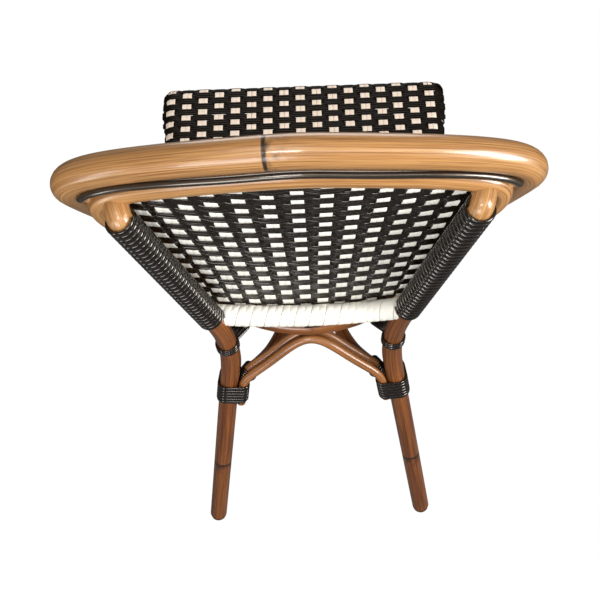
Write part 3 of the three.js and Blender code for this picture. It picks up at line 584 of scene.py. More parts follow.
# %% Tops of the uprights
BEND_FROM = 775 * MM
BEND_CORNER = 9 * MM
BEND_BELOW = np.array([0, -3, -10]) * MM
BEND_OUT = np.array([14, 0, 0]) * MM
BEND_POINTS = 9
TOP_FROM = 765 * MM
TOP_SIDES = 32
TOP_THICKER = 0.15 * MM
STUB_RADIUS = 9 * MM
STUB_SIDES = 24
STUB_FROM = np.array([0.99, 0.98, 1])
STUB_TO = np.array([225, 198, 768]) * MM


def bent_to_hoop(line):
    """A rear leg's line with its top bent to meet the inner hoop from below."""
    low = line[line[:, 2] < BEND_FROM]
    start = low[-1]
    corner = start + unit(start - low[-3]) * BEND_CORNER
    outward = BEND_OUT * np.sign(line[-1, 0])
    end = nearest(LINES["inner_hoop"], line[-1] + outward) + BEND_BELOW
    shares = np.linspace(0, 1, BEND_POINTS)[1:, None]
    curve = (1 - shares) ** 2 * start + 2 * shares * (1 - shares) * corner + shares ** 2 * end
    return np.concatenate([low, curve])


for side in SIDES:
    node = f"rear_leg_{side}"
    leg = bent_to_hoop(LINES[node])
    top = even_pieces(leg[np.argmax(leg[:, 2] > TOP_FROM):], SHORT_PIECE)
    bend_tube(f"upright_top_{side}", node, top, RADII[node] + TOP_THICKER, TOP_SIDES, GOLDEN_CANE)
    start = top[len(top) // 2] * STUB_FROM
    outward = STUB_TO * (np.sign(start[0]), 1, 1)
    stub = even_pieces(np.array([start, nearest(LINES["outer_hoop"], outward)]), SHORT_PIECE)
    bend_tube(f"hoop_stub_{side}", node, stub, STUB_RADIUS, STUB_SIDES, GOLDEN_CANE)

# %% [markdown]
# The seat ring is a closed tube, so its centre line has no ends. It is read from the rear middle
# round one side to the front, and mirrored.

# %% Seat ring
RING_FLAT_SIDES = 10
RING_SIDES = 24
ring, ring_radius = ring_line("seat_ring", RING_FLAT_SIDES)
RING = even_pieces(np.concatenate([ring, ring[:1]]), LINE_PIECE)[:-1]
bend_tube("seat_ring_tube", "seat_ring", RING, ring_radius, RING_SIDES, BROWN_CANE, closed=True)

# %% [markdown]
# ## Glossy black strand
#
# The binding is polyethylene strand, drawn through a die, so it has fine ridges along it and a hard
# gloss. It is nearly black, a little warm, and each turn catches its own small white reflection. The
# seat's black strand is duller, and darker in colour as painted shade. The piping is a smooth vinyl
# cord. The cream strand is the same plastic, tinted peach on the seat as painted warm light.

# %% Strand plastics
WARM_SHINE = "#F6DEC6"
RIDGE_DEPTH = 0.06 * MM
RIDGES_ALONG = 12
# Of each plastic: colour, lighter colour, roughness, clear coat, shine, width of a ridge
PLASTICS = {
    "black_polyethylene_strand": ("#0D0704", "#22160D", 0.22, 1.0, 0.3, 0.8 * MM),
    "glossy_black_vinyl_cord": ("#15110E", "#2A241E", 0.34, 1.0, 1.0, 3 * MM),
    # The seat's black: a duller copy of the strand, its darker colour is painted shade
    "dull_black_strand_with_painted_shade": ("#080402", "#150D07", 0.5, 0.0, 0.12, 0.8 * MM),
    "cream_polyethylene_strand": ("#F4F1E6", "#FFFDF6", 0.38, 0.0, 0.5, 0.9 * MM),
    # The seat's cream: a peach-tinted copy of the cream strand, the tint is painted warm light
    "cream_strand_with_painted_warm_light": ("#F3DFCB", "#FFF3E4", 0.4, 0.0, 0.5, 0.9 * MM),
}


def strand_plastic(name, colour, light_colour, roughness, coat, shine, ridge_width):
    """Drawn strand: even colour, small differences between strands, fine ridges along it."""
    material, tree = new_material(name)
    tone = add_node(tree, "ShaderNodeAttribute", attribute_name="tone").outputs["Fac"]
    ridge = straight_noise(tree, RIDGES_ALONG, 1 / ridge_width, 2)
    share = add_node(tree, "ShaderNodeMath", {0: ridge, 1: tone, 2: -0.25}, operation="MULTIPLY_ADD")
    share = add_node(tree, "ShaderNodeMath", {0: tone, 1: share}, operation="MULTIPLY", use_clamp=True)
    mixed = add_node(tree, "ShaderNodeMix",
                     {"Factor": share, FIRST: linear(colour), SECOND: linear(light_colour)},
                     data_type="RGBA")
    rough = add_node(tree, "ShaderNodeMapRange",
                     {0: ridge, 1: 0.3, 2: 0.7, 3: roughness - 0.05, 4: roughness + 0.08})
    bump = add_node(tree, "ShaderNodeBump", {"Strength": 0.5, "Distance": RIDGE_DEPTH, "Height": ridge})
    shader = add_node(tree, "ShaderNodeBsdfPrincipled",
                      {"Base Color": mixed.outputs[MIXED], "Roughness": rough, "IOR": 1.51,
                       "Specular IOR Level": shine, "Specular Tint": linear(WARM_SHINE),
                       "Coat Weight": coat, "Coat Roughness": 0.1, "Normal": bump})
    add_node(tree, "ShaderNodeOutputMaterial", {"Surface": shader})
    return material


BLACK_STRAND, BLACK_VINYL, SEAT_SHADED_BLACK_STRAND, CREAM_STRAND, SEAT_WARM_LIT_CREAM_STRAND = [
    strand_plastic(name, *settings) for name, settings in PLASTICS.items()]
print("plastics:", ", ".join(PLASTICS))

# %% [markdown]
# ## A tree that lays a strand
#
# Every binding and every strand of the weave is one profile swept along a path: a circle pressed
# towards a rectangle, with its thickness along the path's own `out` direction. A round cord and a
# flat strip differ only in the inputs.

# %% Strand tree
STRAND_CREASE = math.radians(60)


def pressed(tree, value, power, size):
    """The value raised to a power with its sign kept, times half a size."""
    sign = add_node(tree, "ShaderNodeMath", {0: value}, operation="SIGN")
    result = add_node(tree, "ShaderNodeMath", {0: value}, operation="ABSOLUTE")
    for other, operation in ((power, "POWER"), (sign, "MULTIPLY"), (size, "MULTIPLY"), (0.5, "MULTIPLY")):
        result = add_node(tree, "ShaderNodeMath", {0: result, 1: other}, operation=operation)
    return result


def strand_tree():
    """The tree that sweeps a pressed round profile along polylines with an out direction."""
    tree, given, result = new_tree("laid_strand", Width="Float", Thickness="Float", Roundness="Float",
                                   Sides="Int", Material="Material")
    path = add_node(tree, "GeometryNodeMeshToCurve", {"Mesh": given})
    out = add_node(tree, "GeometryNodeInputNamedAttribute", {"Name": "out"}, data_type="FLOAT_VECTOR")
    turned = add_node(tree, "GeometryNodeSetCurveNormal", {"Curve": path, "Normal": out}, mode="FREE")
    circle = add_node(tree, "GeometryNodeCurvePrimitiveCircle",
                      {"Resolution": given.outputs["Sides"], "Radius": 1.0})
    parts = add_node(tree, "ShaderNodeSeparateXYZ", {0: add_node(tree, "GeometryNodeInputPosition")})
    power = given.outputs["Roundness"]
    corner = add_node(tree, "ShaderNodeCombineXYZ",
                      {"X": pressed(tree, parts.outputs["X"], power, given.outputs["Thickness"]),
                       "Y": pressed(tree, parts.outputs["Y"], power, given.outputs["Width"])})
    profile = add_node(tree, "GeometryNodeSetPosition", {"Geometry": circle, "Position": corner})
    close_tree(tree, given, result, sweep(tree, turned, profile), STRAND_CREASE)
    return tree


LAID_STRAND = strand_tree()


def make_strands(name, node, lines, outs, tones, width, thickness, roundness, sides, plastic):
    """Strands along lines, in the place of a CAD node, with the directions outs of their thickness."""
    mesh = path_mesh(lines)
    directions = mesh.attributes.new("out", "FLOAT_VECTOR", "POINT")
    directions.data.foreach_set("vector", np.concatenate(outs).astype(np.float32).ravel())
    lightness = mesh.attributes.new("tone", "FLOAT", "POINT")
    spread = np.concatenate([np.full(len(line), tone) for line, tone in zip(lines, tones)])
    lightness.data.foreach_set("value", spread.astype(np.float32))
    piece = run_tree(LAID_STRAND, mesh, name, Width=width, Thickness=thickness, Roundness=roundness,
                     Sides=sides, Material=plastic)
    settle(piece, node)


# %% [markdown]
# ## Windings
#
# A winding is a helix round whatever it binds: one tube, or a leg with the four rod ends beside it,
# where the strand runs straight from one to the next. Round the place of a turn, the strand lies
# against the tube that reaches furthest in that direction.

# %% Winding paths
STRAND_AIR = 0.2 * MM
STRETCH_POINTS = 24
TURN_STEPS = 32
WOUND_TONE = 0.2
WOUND_SIDES = 10


def section_axes(tangent, wish):
    """Two directions across a line: the one nearest to wish, and the one square to it."""
    u = unit(wish - tangent * np.dot(wish, tangent))
    return u, np.cross(tangent, u)


def wind(line, wish, turns, steps, lift, circles, shift=0.0, tilt=0.0, hand=1):
    """A helix along a line round circles (x, y, radius) of its section.

    The first turn starts on the side of wish. With a tilt, every turn is that much higher there.
    A hand of -1 winds the other way round.
    """
    along = lengths_along(line)
    tangents = np.gradient(line, along, axis=0)
    points = []
    outs = []
    for i in range(turns * steps + 1):
        angle = hand * 2 * math.pi * i / steps
        place = along[-1] * i / (turns * steps) + shift + tilt * math.cos(angle)
        u, v = section_axes(unit(points_at(tangents, along, place)), wish)
        cos, sin = math.cos(angle), math.sin(angle)
        x, y, radius = max(circles, key=lambda circle: circle[0] * cos + circle[1] * sin + circle[2])
        out = u * cos + v * sin
        points.append(points_at(line, along, place) + u * x + v * y + out * (radius + lift))
        outs.append(out)
    return np.array(points), np.array(outs)


def between_heights(line, low, high):
    """The stretch of a rising line between two heights."""
    return points_at(line, line[:, 2], np.linspace(low, high, STRETCH_POINTS))


def between_lengths(line, start, end):
    """The stretch of a line between two distances from its start."""
    return points_at(line, lengths_along(line), np.linspace(start, end, STRETCH_POINTS))


def make_winding(name, node, line, wish, circles, turns, thickness, steps=TURN_STEPS, roundness=0.8,
                 strands=1, tightness=1.0, tilt=0.0, hand=1, plastic=BLACK_STRAND):
    """A winding of one strand, or of a few side by side, in the place of a CAD winding."""
    length = lengths_along(line)[-1]
    pitch = length / (turns + 1)
    middle = between_lengths(line, pitch / 2, length - pitch / 2)
    width = pitch / strands
    lines, outs = [], []
    for strand in range(strands):
        shift = (strand - (strands - 1) / 2) * width * tightness
        points, directions = wind(middle, np.array(wish, float), turns, steps, thickness / 2 + STRAND_AIR,
                                  circles, shift, tilt, hand)
        lines.append(points)
        outs.append(directions)
    make_strands(name, node, lines, outs, [WOUND_TONE] * strands, width - STRAND_AIR, thickness, roundness,
                 WOUND_SIDES, plastic)


# %% Cord round the uprights
WRAP_LOW = {"left": 508 * MM, "right": 519 * MM}
WRAP_HIGH = 779 * MM
WRAP_TURNS = {"left": 33, "right": 32}
WRAP_STEPS = 28
WRAP_THICKNESS = 4 * MM

for side, sign in SIDES.items():
    leg = f"rear_leg_{side}"
    upright = between_heights(LINES[leg], WRAP_LOW[side], WRAP_HIGH)
    make_winding(f"upright_cord_{side}", f"upright_wrap_{side}", upright, (-sign, 0, 0),
                 [(0, 0, RADII[leg])], WRAP_TURNS[side], WRAP_THICKNESS, steps=WRAP_STEPS, roundness=0.95)

# %% Lashings round legs and rod ends
LASH_LOW = 314 * MM
LASH_HIGH = 355 * MM
LASH_TURNS = 6
LASH_STEPS = 40
LASH_THICKNESS = 3.4 * MM
LASH_TILT = 4 * MM


def make_lashing(end, side, sign):
    """Strand round a leg and the four rods that end beside it."""
    leg = between_heights(LINES[f"{end}_leg_{side}"], LASH_LOW, LASH_HIGH)
    middle = leg.mean(axis=0)
    wish = np.array([-sign, 0, 0], float)
    u, v = section_axes(unit(leg[-1] - leg[0]), wish)
    circles = [(0, 0, RADII[f"{end}_leg_{side}"])]
    for rod in (f"{end}_arch_outer", f"{end}_arch_inner", f"side_arch_outer_{side}",
                f"side_arch_inner_{side}"):
        away = nearest(LINES[rod], middle) - middle
        circles.append((np.dot(away, u), np.dot(away, v), RADII[rod]))
    make_winding(f"{end}_lashing_strand_{side}", f"{end}_lashing_{side}", leg, wish, circles, LASH_TURNS,
                 LASH_THICKNESS, steps=LASH_STEPS, tilt=LASH_TILT)


for side, sign in SIDES.items():
    for end in ENDS:
        make_lashing(end, side, sign)

# %% Knots on the legs
KNOTS = {"rear": (427.5 * MM, 445.5 * MM), "front": (399.5 * MM, 416.5 * MM)}
KNOT_TURNS = 3
KNOT_THICKNESS = 2.8 * MM

for side in SIDES:
    for end, (low, high) in KNOTS.items():
        leg = f"{end}_leg_{side}"
        line = between_heights(LINES[leg], low, high)
        make_winding(f"{end}_knot_strand_{side}", f"{end}_knot_{side}", line, (0, -1, 0),
                     [(0, 0, RADII[leg])], KNOT_TURNS, KNOT_THICKNESS)

# %% [markdown]
# Each stretcher rests on the inner rod of the rear arch, and a knot binds the two where they meet.

# %% Knots on the stretchers
STRETCHER_KNOT_LENGTH = 27 * MM
STRETCHER_KNOT_TURNS = 6
rod = LINES["rear_arch_inner"]

for side in SIDES:
    stretcher = LINES[f"stretcher_{side}"]
    end = stretcher[np.argmax(stretcher[:, 1])]
    middle = lengths_along(rod)[np.argmin(np.linalg.norm(rod - end, axis=1))]
    line = between_lengths(rod, middle - STRETCHER_KNOT_LENGTH / 2, middle + STRETCHER_KNOT_LENGTH / 2)
    tangent = unit(line[-1] - line[0])
    away = end - line.mean(axis=0)
    away -= tangent * np.dot(away, tangent)
    circles = [(0, 0, RADII["rear_arch_inner"]), (np.linalg.norm(away), 0, RADII[f"stretcher_{side}"])]
    make_winding(f"stretcher_knot_strand_{side}", f"stretcher_knot_{side}", line, unit(away), circles,
                 STRETCHER_KNOT_TURNS, KNOT_THICKNESS, roundness=0.9)

# %% [markdown]
# From each knee knot a few strands run up and over the seat ring. They leave the knot close together
# and spread out along the ring.

# %% Ties from the knees to the seat ring
KNEE_HEIGHT = 438 * MM
TIE_STRANDS = 5
TIE_THICKNESS = 4.4 * MM
TIE_LOW_SPREAD = 3.5 * MM
TIE_HIGH_SPREAD = 10 * MM
TIE_FAN = math.radians(24)
TIE_RING_DEGREES = (-30, 20, 60, 100)
TIE_PIECE = 2 * MM
TIE_ROUNDS = 4


def tie_line(leg, leg_radius, share):
    """One strand of a tie; share is its place in the fan, from -1 to 1."""
    start = points_at(leg, leg[:, 2], KNEE_HEIGHT + share * TIE_LOW_SPREAD)
    on_ring = nearest(RING, start)
    way = unit((on_ring - start) * (1, 1, 0))
    across = np.array([-way[1], way[0], 0])
    lift = leg_radius + TIE_THICKNESS / 2
    reach = ring_radius + TIE_THICKNESS / 2
    middle = on_ring + across * share * TIE_HIGH_SPREAD
    points = [start + (way * math.cos(TIE_FAN * share) + across * math.sin(TIE_FAN * share)) * lift]
    for degrees in TIE_RING_DEGREES:
        turn = math.radians(degrees)
        points.append(middle - way * math.cos(turn) * reach + np.array([0, 0, math.sin(turn) * reach]))
    return relaxed(even_pieces(np.array(points), TIE_PIECE), TIE_ROUNDS), across


for side in SIDES:
    lines, outs = [], []
    for share in np.linspace(-1, 1, TIE_STRANDS):
        line, across = tie_line(LINES[f"rear_leg_{side}"], RADII[f"rear_leg_{side}"], share)
        lines.append(line)
        outs.append(np.tile(across, (len(line), 1)))
    make_strands(f"seat_tie_strands_{side}", f"seat_tie_{side}", lines, outs, [WOUND_TONE] * TIE_STRANDS,
                 TIE_THICKNESS, TIE_THICKNESS, 0.9, WOUND_SIDES, BLACK_STRAND)

# %% [markdown]
# The cream strip covers the bottom rail and laps over both uprights. On one side its end is raised
# to pass over the black cord.

# %% Cream strip round the bottom rail
CREAM_TURNS = 13
CREAM_TIGHTNESS = 0.96
CREAM_THICKNESS = 2.9 * MM
CREAM_MORE = (29 * MM, 24 * MM)
CREAM_OVER = np.array([0, 12, 18.7]) * MM
CREAM_BENT = 5
rail = LINES["back_bottom_rail"]
first = rail[0] + unit(rail[0] - rail[2]) * CREAM_MORE[0] + CREAM_OVER
last = rail[-1] + unit(rail[-1] - rail[-3]) * CREAM_MORE[1]
cream_line = even_pieces(np.concatenate([[first], rail[CREAM_BENT:], [last]]), LINE_PIECE)
make_winding("cream_rail_strip", "bottom_rail_wrap", cream_line, (0, 0, 1),
             [(0, 0, RADII["back_bottom_rail"])], CREAM_TURNS, CREAM_THICKNESS, roundness=0.6, strands=2,
             tightness=CREAM_TIGHTNESS, hand=-1, plastic=CREAM_STRAND)

# %% [markdown]
# The piping is a round cord in the groove between the hoops. Towards the middle of the rail it lies
# lower and further back, as in the photograph.

# %% Piping between the hoops
PIPING_FLAT_SIDES = 8
PIPING_SIDES = 16
PIPING_TONE = 0.1
PIPING_SINK = np.array([0, 6.9, -4.8]) * MM
PIPING_SINK_REACH = 210 * MM
piping, piping_radius = centre_line("hoop_piping", PIPING_FLAT_SIDES)
piping = relaxed(even_pieces(piping, LINE_PIECE))
sunk = np.cos(np.clip(piping[:, 0] / PIPING_SINK_REACH, -1, 1) * math.pi) / 2 + 0.5
piping += sunk[:, None] * PIPING_SINK
make_strands("hoop_piping_cord", "hoop_piping", [piping], [np.tile((0, 1.0, 0), (len(piping), 1))],
             [PIPING_TONE], 2 * piping_radius, 2 * piping_radius, 1.0, PIPING_SIDES, BLACK_VINYL)

# %% [markdown]
# ## The weave
#
# The back and the seat share one weave. Flat pale strands run in pairs down the panel. Bundles of thin
# black strands run across, touching each other, so the panel is closed. Each bundle passes over one
# pair and under the next, and the next bundle does the opposite. Every second crossing of a pair shows
# as a pale block, and the blocks of neighbouring pairs are half a step apart.
#
# Both ways of strand are laid on a surface `place(a, b)` that gives a point and its outward direction,
# where `a` counts across and `b` along the pairs. The height over and under that surface is a wave in
# the number of pairs and bundles passed, with flat tops. A hand-woven strand is never quite straight
# or of quite the same colour, so each is moved and toned a little at random, from a fixed seed.

# %% Laying strands on a surface
OVER_WAVE = 1.7
PALE_RISE = 1.15 * MM
PALE_WIDTH = 7 * MM
BLACK_RISE = 0.9 * MM
BUNDLE_SPREAD = 0.07
UNEVEN = 0.12 * MM
UNEVEN_RISE = 0.1 * MM
SHORTEST_RUN = 3
# Of each kind of strand: thickness, roundness, sides of its profile
STRAND_KINDS = {"pale": (1.3 * MM, 0.35, 12), "black": (1.9 * MM, 0.75, 8)}
random = np.random.default_rng(7)


def crossing(column, bundle):
    """1 where a pale pair lies on top, -1 where a black bundle does, for running counts of both."""
    wave = -np.cos(math.pi * column) * np.cos(math.pi * bundle)
    return np.clip(OVER_WAVE * wave, -1, 1)


def runs(inside):
    """Start and end of each unbroken run of true values that is long enough for a strand."""
    edges = np.flatnonzero(np.diff(np.concatenate([[False], inside, [False]]).astype(int)))
    return [(start, end) for start, end in zip(edges[::2], edges[1::2]) if end - start > SHORTEST_RUN]


def lay(panel, a, b, rise):
    """Adds the strand over the points (a, b) to the panel's strands, where it is inside the panel."""
    points, directions = panel["place"](a, b)
    points = points + directions * rise[:, None]
    for start, end in runs(panel["inside"](a, b)):
        panel["lines"].append(points[start:end])
        panel["outs"].append(directions[start:end])


def lay_pair(panel, middle, b, apart, over):
    """Two pale strands side by side; apart is the distance between their middles."""
    for side in (-0.5, 0.5):
        lay(panel, middle + side * apart + random.normal(0, UNEVEN), b, PALE_RISE * over)


def lay_bundle(panel, a, middle, height, over, count):
    """Some black strands that share the height of a bundle, a little closer where they dive under."""
    for strand in range(count):
        share = (strand - (count - 1) / 2) / count
        b = middle + share * height * (1 - BUNDLE_SPREAD * over) + random.normal(0, UNEVEN)
        lay(panel, a, b, -BLACK_RISE * over + random.normal(0, UNEVEN_RISE))


def make_weave(panel, kind, width, plastic):
    """Makes the strands laid so far, all of one kind, and empties the panel's lists for the next."""
    name = panel["name"]
    thickness, roundness, sides = STRAND_KINDS[kind]
    tones = random.uniform(0, 1, len(panel["lines"]))
    make_strands(f"{name}_{kind}_strands", f"{name}_weave", panel["lines"], panel["outs"], tones, width,
                 thickness, roundness, sides, plastic)
    panel["lines"], panel["outs"] = [], []


def power_sum(terms, value):
    """The terms times the rising powers of a value, added up."""
    return sum(term * value ** power for power, term in enumerate(terms))


# %% [markdown]
# The back panel is a gently hollow sheet. Its surface is a smooth curve fitted to points that rays hit
# on the CAD panel. The same rays say where the panel ends.

# %% Surface of the back
RAY_START = 0.6
RAY_STEP = 8 * MM
BACK_MIDDLE_HEIGHT = 0.65
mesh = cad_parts["back_weave"].data
BACK_RAYS = BVHTree.FromPolygons([v.co[:] for v in mesh.vertices], [p.vertices[:] for p in mesh.polygons])


def back_hit(x, z):
    """Middle of the CAD back panel at a place seen from behind, or nothing past its edge."""
    rear = BACK_RAYS.ray_cast(Vector((x, RAY_START, z)), Vector((0, -1, 0)))[0]
    front = BACK_RAYS.ray_cast(Vector((x, -RAY_START, z)), Vector((0, 1, 0)))[0]
    return None if rear is None else (rear.y + front.y) / 2


def back_terms(x, z):
    """The shapes that the back's surface is a sum of."""
    h = z - BACK_MIDDLE_HEIGHT
    return np.stack([x ** p * h ** q for p in (0, 2, 4, 6) for q in (0, 1, 2)], axis=-1)


low, high = (np.array(corner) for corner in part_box("back_weave"))
grid = [(x, z, back_hit(x, z)) for x in np.arange(low[0], high[0], RAY_STEP)
        for z in np.arange(low[2], high[2], RAY_STEP)]
grid = np.array([spot for spot in grid if spot[2] is not None])
BACK_SUM, misfit, _, _ = np.linalg.lstsq(back_terms(grid[:, 0], grid[:, 1]), grid[:, 2], rcond=None)
print("back surface from", len(grid), "rays, off by", round(math.sqrt(misfit[0] / len(grid)) / MM, 2), "mm")


def back_place(x, z):
    """Points of the back's surface and their outward directions."""
    y = back_terms(x, z) @ BACK_SUM
    slope_x = (back_terms(x + MM, z) @ BACK_SUM - y) / MM
    slope_z = (back_terms(x, z + MM) @ BACK_SUM - y) / MM
    out = np.stack([-slope_x, np.ones_like(y), -slope_z], axis=-1)
    return np.stack([x, y, z], axis=-1), out / np.linalg.norm(out, axis=1)[:, None]


def back_inside(x, z):
    """Where the CAD panel is, with one more step at each end to tuck the strand in."""
    hit = np.array([back_hit(a, b) is not None for a, b in zip(x, z)])
    grown = hit.copy()
    grown[1:] |= hit[:-1]
    grown[:-1] |= hit[1:]
    return grown


# %% [markdown]
# The pairs of the back fan out towards the top and stand closer at the sides, where the sheet turns
# away. The bundles sag a little in the middle of the lower part.

# %% Strands of the back
BACK_PAIRS = range(-6, 7)
BACK_BUNDLES = range(-2, 27)
COUNTS = np.arange(-6, 34)
BACK_MIDDLE = 3.4 * MM
PAIR_TURN = 0.1075
FAN_FROM = 0.53
FAN_RISE = 0.24
FAN_TERMS = (211.3, 54.8, 17.2)
LEVEL_TERMS = (511.8, 30.56, -0.515)
BOW_TERMS = (10.2, -1.8, 0.235)
LEAN_TERMS = (-2.42, 0.38)
PANEL_HALF = 0.15
BACK_STEP = 3.7 * MM
BACK_MORE = np.array([6, 0, 8]) * MM
BACK_PALE_AIR = 0.1 * MM
BACK_BLACK_WIDTH = 3.75 * MM
BACK_BUNDLE_STRANDS = 4


def back_reach(z):
    """Half the width that the pairs of the back fan out over."""
    return power_sum(FAN_TERMS, (z - FAN_FROM) / FAN_RISE) * MM


def back_bundle_height(bundle, x):
    """Height of the middle of a bundle; two bundles make one step of the pattern."""
    step = bundle / 2
    out = x / PANEL_HALF
    level = power_sum(LEVEL_TERMS, step)
    return (level + out ** 2 * power_sum(BOW_TERMS, step) + out * power_sum(LEAN_TERMS, step)) * MM


def back_column(x, z):
    """How many pairs a place is from the middle pair."""
    return np.arcsin(np.clip((x - BACK_MIDDLE) / back_reach(z), -1, 1)) / PAIR_TURN


def back_bundle(x, z):
    """How many bundles a place is above the lowest."""
    return np.array([np.interp(b, back_bundle_height(COUNTS, a), COUNTS) for a, b in zip(x, z)])


back = {"name": "back", "place": back_place, "inside": back_inside, "lines": [], "outs": []}
x_range, _, z_range = np.array([low - BACK_MORE, high + BACK_MORE]).T
z = np.arange(*z_range, BACK_STEP)
for pair in BACK_PAIRS:
    middle = BACK_MIDDLE + back_reach(z) * math.sin(PAIR_TURN * pair)
    turned = back_place(middle, z)[1][:, 1]
    lay_pair(back, middle, z, (PALE_WIDTH + BACK_PALE_AIR) * turned, crossing(pair, back_bundle(middle, z)))
make_weave(back, "pale", PALE_WIDTH, CREAM_STRAND)

x = np.arange(*x_range, BACK_STEP)
for bundle in BACK_BUNDLES:
    middle = back_bundle_height(bundle, x)
    height = back_bundle_height(bundle + 0.5, x) - back_bundle_height(bundle - 0.5, x)
    lay_bundle(back, x, middle, height, crossing(back_column(x, middle), bundle), BACK_BUNDLE_STRANDS)
make_weave(back, "black", BACK_BLACK_WIDTH, BLACK_STRAND)

# %% [markdown]
# The seat panel is flat inside the ring and rolls over it at the edge. A place past the ring's centre
# line is rolled down by its distance from the line. At the front and the sides the panel reaches under
# the ring's middle. At the rear it stops on top, where the ring stays bare. The taut weave makes the
# two front corners nearly square.

# %% Surface of the seat
SEAT_ROLL_OUT = np.array([17.2, 20.4]) * MM
SEAT_ROLL_UP = 13 * MM
SEAT_ROLL_LENGTH = 18.5 * MM
CORNER_BEHIND = -200 * MM
CORNER_MIDDLE = np.array([185, -240]) * MM
CORNER_POWER = 6
REAR_BARE = 113 * MM
FULL_TURN = math.radians(118)
REAR_TURN = math.radians(20)
TINY = 1e-9
RING_HEIGHT = RING[:, 2].mean()


def squared_corners(line):
    """The ring's line with its two front corners made nearly square."""
    line = line[:, :2].copy()
    sign = np.sign(line[:, :1])
    away = (line * np.concatenate([sign, np.ones_like(sign)], axis=1) - CORNER_MIDDLE) * (1, -1)
    corner = (away > 0).all(axis=1)
    round_size = np.linalg.norm(away, axis=1)
    square_size = (np.abs(away) ** CORNER_POWER).sum(axis=1) ** (1 / CORNER_POWER)
    grown = away * (round_size / square_size)[:, None] * (1, -1) + CORNER_MIDDLE
    grown[:, 0] *= sign[:, 0]
    return np.where(corner[:, None], grown, line)


SEAT_LINE = squared_corners(even_pieces(np.concatenate([RING, RING[:1]]), SHORT_PIECE)[:-1])


def ring_distance(x, y):
    """Distance outside the ring's centre line (below zero inside) and the nearest place on the line."""
    start = SEAT_LINE
    step = np.roll(start, -1, axis=0) - start
    ends = start + step
    spots = np.stack([x, y], axis=-1)
    share = ((spots[:, None] - start) * step).sum(axis=2) / (step ** 2).sum(axis=1)
    near = start + np.clip(share, 0, 1)[..., None] * step
    power = np.where(y < CORNER_BEHIND, CORNER_POWER, 2)[:, None]
    away = (np.abs(spots[:, None] - near) ** power[..., None]).sum(axis=2) ** (1 / power)
    best = away.argmin(axis=1)
    every = np.arange(len(spots))
    straddles = (start[:, 1] > y[:, None]) != (ends[:, 1] > y[:, None])
    rise = np.where(np.abs(step[:, 1]) < TINY, TINY, step[:, 1])
    crossing_x = start[:, 0] + (y[:, None] - start[:, 1]) / rise * step[:, 0]
    inside = (straddles & (crossing_x > x[:, None])).sum(axis=1) % 2 == 1
    return np.where(inside, -away[every, best], away[every, best]), near[every, best]


def seat_place(x, y):
    """Points of the seat's surface and their outward directions."""
    past, near = ring_distance(x, y)
    turn = np.clip(past, 0, None) / SEAT_ROLL_LENGTH
    spots = np.stack([x, y], axis=-1)
    away = (spots - near) / np.maximum(np.abs(past), TINY)[:, None]
    flat = np.where((past > 0)[:, None], near + away * SEAT_ROLL_OUT * np.sin(turn)[:, None], spots)
    z = RING_HEIGHT + SEAT_ROLL_UP * np.cos(turn)
    out = np.concatenate([away * np.sin(turn)[:, None], np.cos(turn)[:, None]], axis=1)
    return np.concatenate([flat, z[:, None]], axis=1), out


def seat_inside(x, y):
    """Where the panel is: down to its edge below the ring, or to the lip at the rear."""
    past, _ = ring_distance(x, y)
    return past < np.where(y > REAR_BARE, REAR_TURN, FULL_TURN) * SEAT_ROLL_LENGTH


# %% Strands of the seat
SEAT_PAIRS = range(-8, 9)
SEAT_MIDDLE = 5.5 * MM
SEAT_PAIR_SPACE = 25.5 * MM
SEAT_PALE_AIR = 0.2 * MM
SEAT_PALE_STEP = 3.57 * MM
SEAT_FIRST_BUNDLE = -259.4 * MM
SEAT_BUNDLE_SPACE = 11.8 * MM
SEAT_BUNDLES = range(-3, 40)
SEAT_BUNDLE_STRANDS = 3
SEAT_BLACK_STEP = 5.25 * MM
SEAT_BLACK_WIDTH = 4.6 * MM
SEAT_REACH = 0.25
SEAT_DEPTH = 0.31

seat = {"name": "seat", "place": seat_place, "inside": seat_inside, "lines": [], "outs": []}
y = np.arange(-SEAT_DEPTH, SEAT_DEPTH, SEAT_PALE_STEP)
for pair in SEAT_PAIRS:
    middle = np.full(len(y), SEAT_MIDDLE + pair * SEAT_PAIR_SPACE)
    over = crossing(pair, (y - SEAT_FIRST_BUNDLE) / SEAT_BUNDLE_SPACE)
    lay_pair(seat, middle, y, PALE_WIDTH + SEAT_PALE_AIR, over)
make_weave(seat, "pale", PALE_WIDTH, SEAT_WARM_LIT_CREAM_STRAND)

x = np.arange(-SEAT_REACH, SEAT_REACH, SEAT_BLACK_STEP)
for bundle in SEAT_BUNDLES:
    middle = SEAT_FIRST_BUNDLE + bundle * SEAT_BUNDLE_SPACE
    over = crossing((x - SEAT_MIDDLE) / SEAT_PAIR_SPACE, bundle)
    lay_bundle(seat, x, middle, SEAT_BUNDLE_SPACE, over, SEAT_BUNDLE_STRANDS)
make_weave(seat, "black", SEAT_BLACK_WIDTH, SEAT_SHADED_BLACK_STRAND)

# %% [markdown]
# ## Foot glides
#
# Each leg ends in a small moulded nylon glide with a rounded edge, so the chair slides without
# scratching. It is a profile turned round the leg's foot.

# %% Glides
GLIDE_EDGE = 2.5 * MM
GLIDE_EDGE_STEPS = 5
GLIDE_SIDES = 32
NYLON_COLOURS = ("#20130D", "#3A261B")
GRAINS_PER_METRE = 2500
GRAIN_DEPTH = 0.1 * MM
SCUFFS_PER_METRE = 180


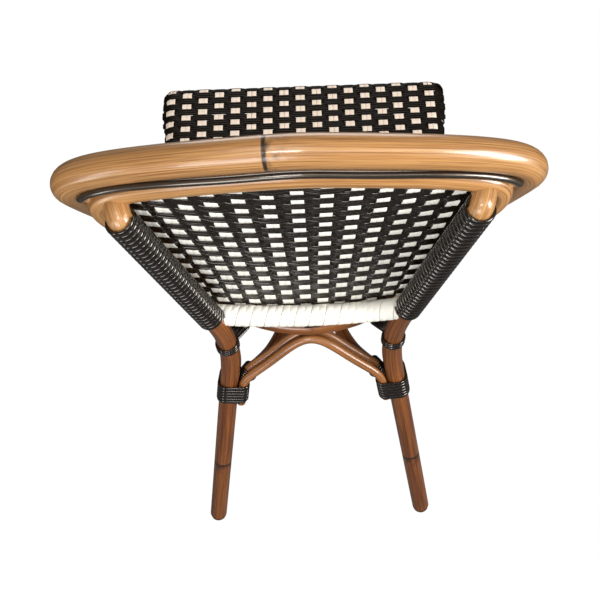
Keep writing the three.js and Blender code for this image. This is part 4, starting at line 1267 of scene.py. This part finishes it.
def nylon():
    """Moulded nylon: dark brown, dull, with a fine spark-eroded texture of about 0.4 mm."""
    material, tree = new_material("moulded_brown_nylon")
    place = add_node(tree, "ShaderNodeTexCoord").outputs["Object"]
    grain = add_node(tree, "ShaderNodeTexNoise", {"Vector": place, "Scale": GRAINS_PER_METRE, "Detail": 2})
    wear = add_node(tree, "ShaderNodeTexNoise", {"Vector": place, "Scale": SCUFFS_PER_METRE, "Detail": 3})
    mixed = add_node(tree, "ShaderNodeMix", {"Factor": wear, FIRST: linear(NYLON_COLOURS[0]),
                                             SECOND: linear(NYLON_COLOURS[1])}, data_type="RGBA")
    bump = add_node(tree, "ShaderNodeBump", {"Strength": 0.4, "Distance": GRAIN_DEPTH, "Height": grain})
    shader = add_node(tree, "ShaderNodeBsdfPrincipled",
                      {"Base Color": mixed.outputs[MIXED], "Roughness": 0.55, "IOR": 1.53, "Normal": bump})
    add_node(tree, "ShaderNodeOutputMaterial", {"Surface": shader})
    return material


NYLON = nylon()


def make_glide(node):
    """A disc with a rounded lower edge, turned about the middle of its CAD box."""
    low, high = (np.array(corner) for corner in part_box(node))
    middle = (low + high) / 2
    radius = (high[0] - low[0]) / 2
    profile = [(radius - GLIDE_EDGE, 0)]
    for step in range(1, GLIDE_EDGE_STEPS + 1):
        angle = math.pi / 2 * step / GLIDE_EDGE_STEPS
        profile.append((radius - GLIDE_EDGE * (1 - math.sin(angle)), GLIDE_EDGE * (1 - math.cos(angle))))
    profile.append((radius, high[2] - low[2]))
    mesh = bmesh.new()
    angles = [2 * math.pi * i / GLIDE_SIDES for i in range(GLIDE_SIDES)]
    rows = [[mesh.verts.new((middle[0] + r * math.cos(a), middle[1] + r * math.sin(a), z)) for a in angles]
            for r, z in profile]
    for below, above in zip(rows, rows[1:]):
        for i in range(GLIDE_SIDES):
            k = (i + 1) % GLIDE_SIDES
            mesh.faces.new((below[i], below[k], above[k], above[i])).smooth = True
    mesh.faces.new(rows[0][::-1])
    mesh.faces.new(rows[-1])
    made = bpy.data.meshes.new(node + "_disc")
    mesh.to_mesh(made)
    mesh.free()
    made.materials.append(NYLON)
    piece = bpy.data.objects.new(node + "_disc", made)
    scene.collection.objects.link(piece)
    settle(piece, node)


for end in ENDS:
    for side in SIDES:
        make_glide(f"{end}_glide_{side}")
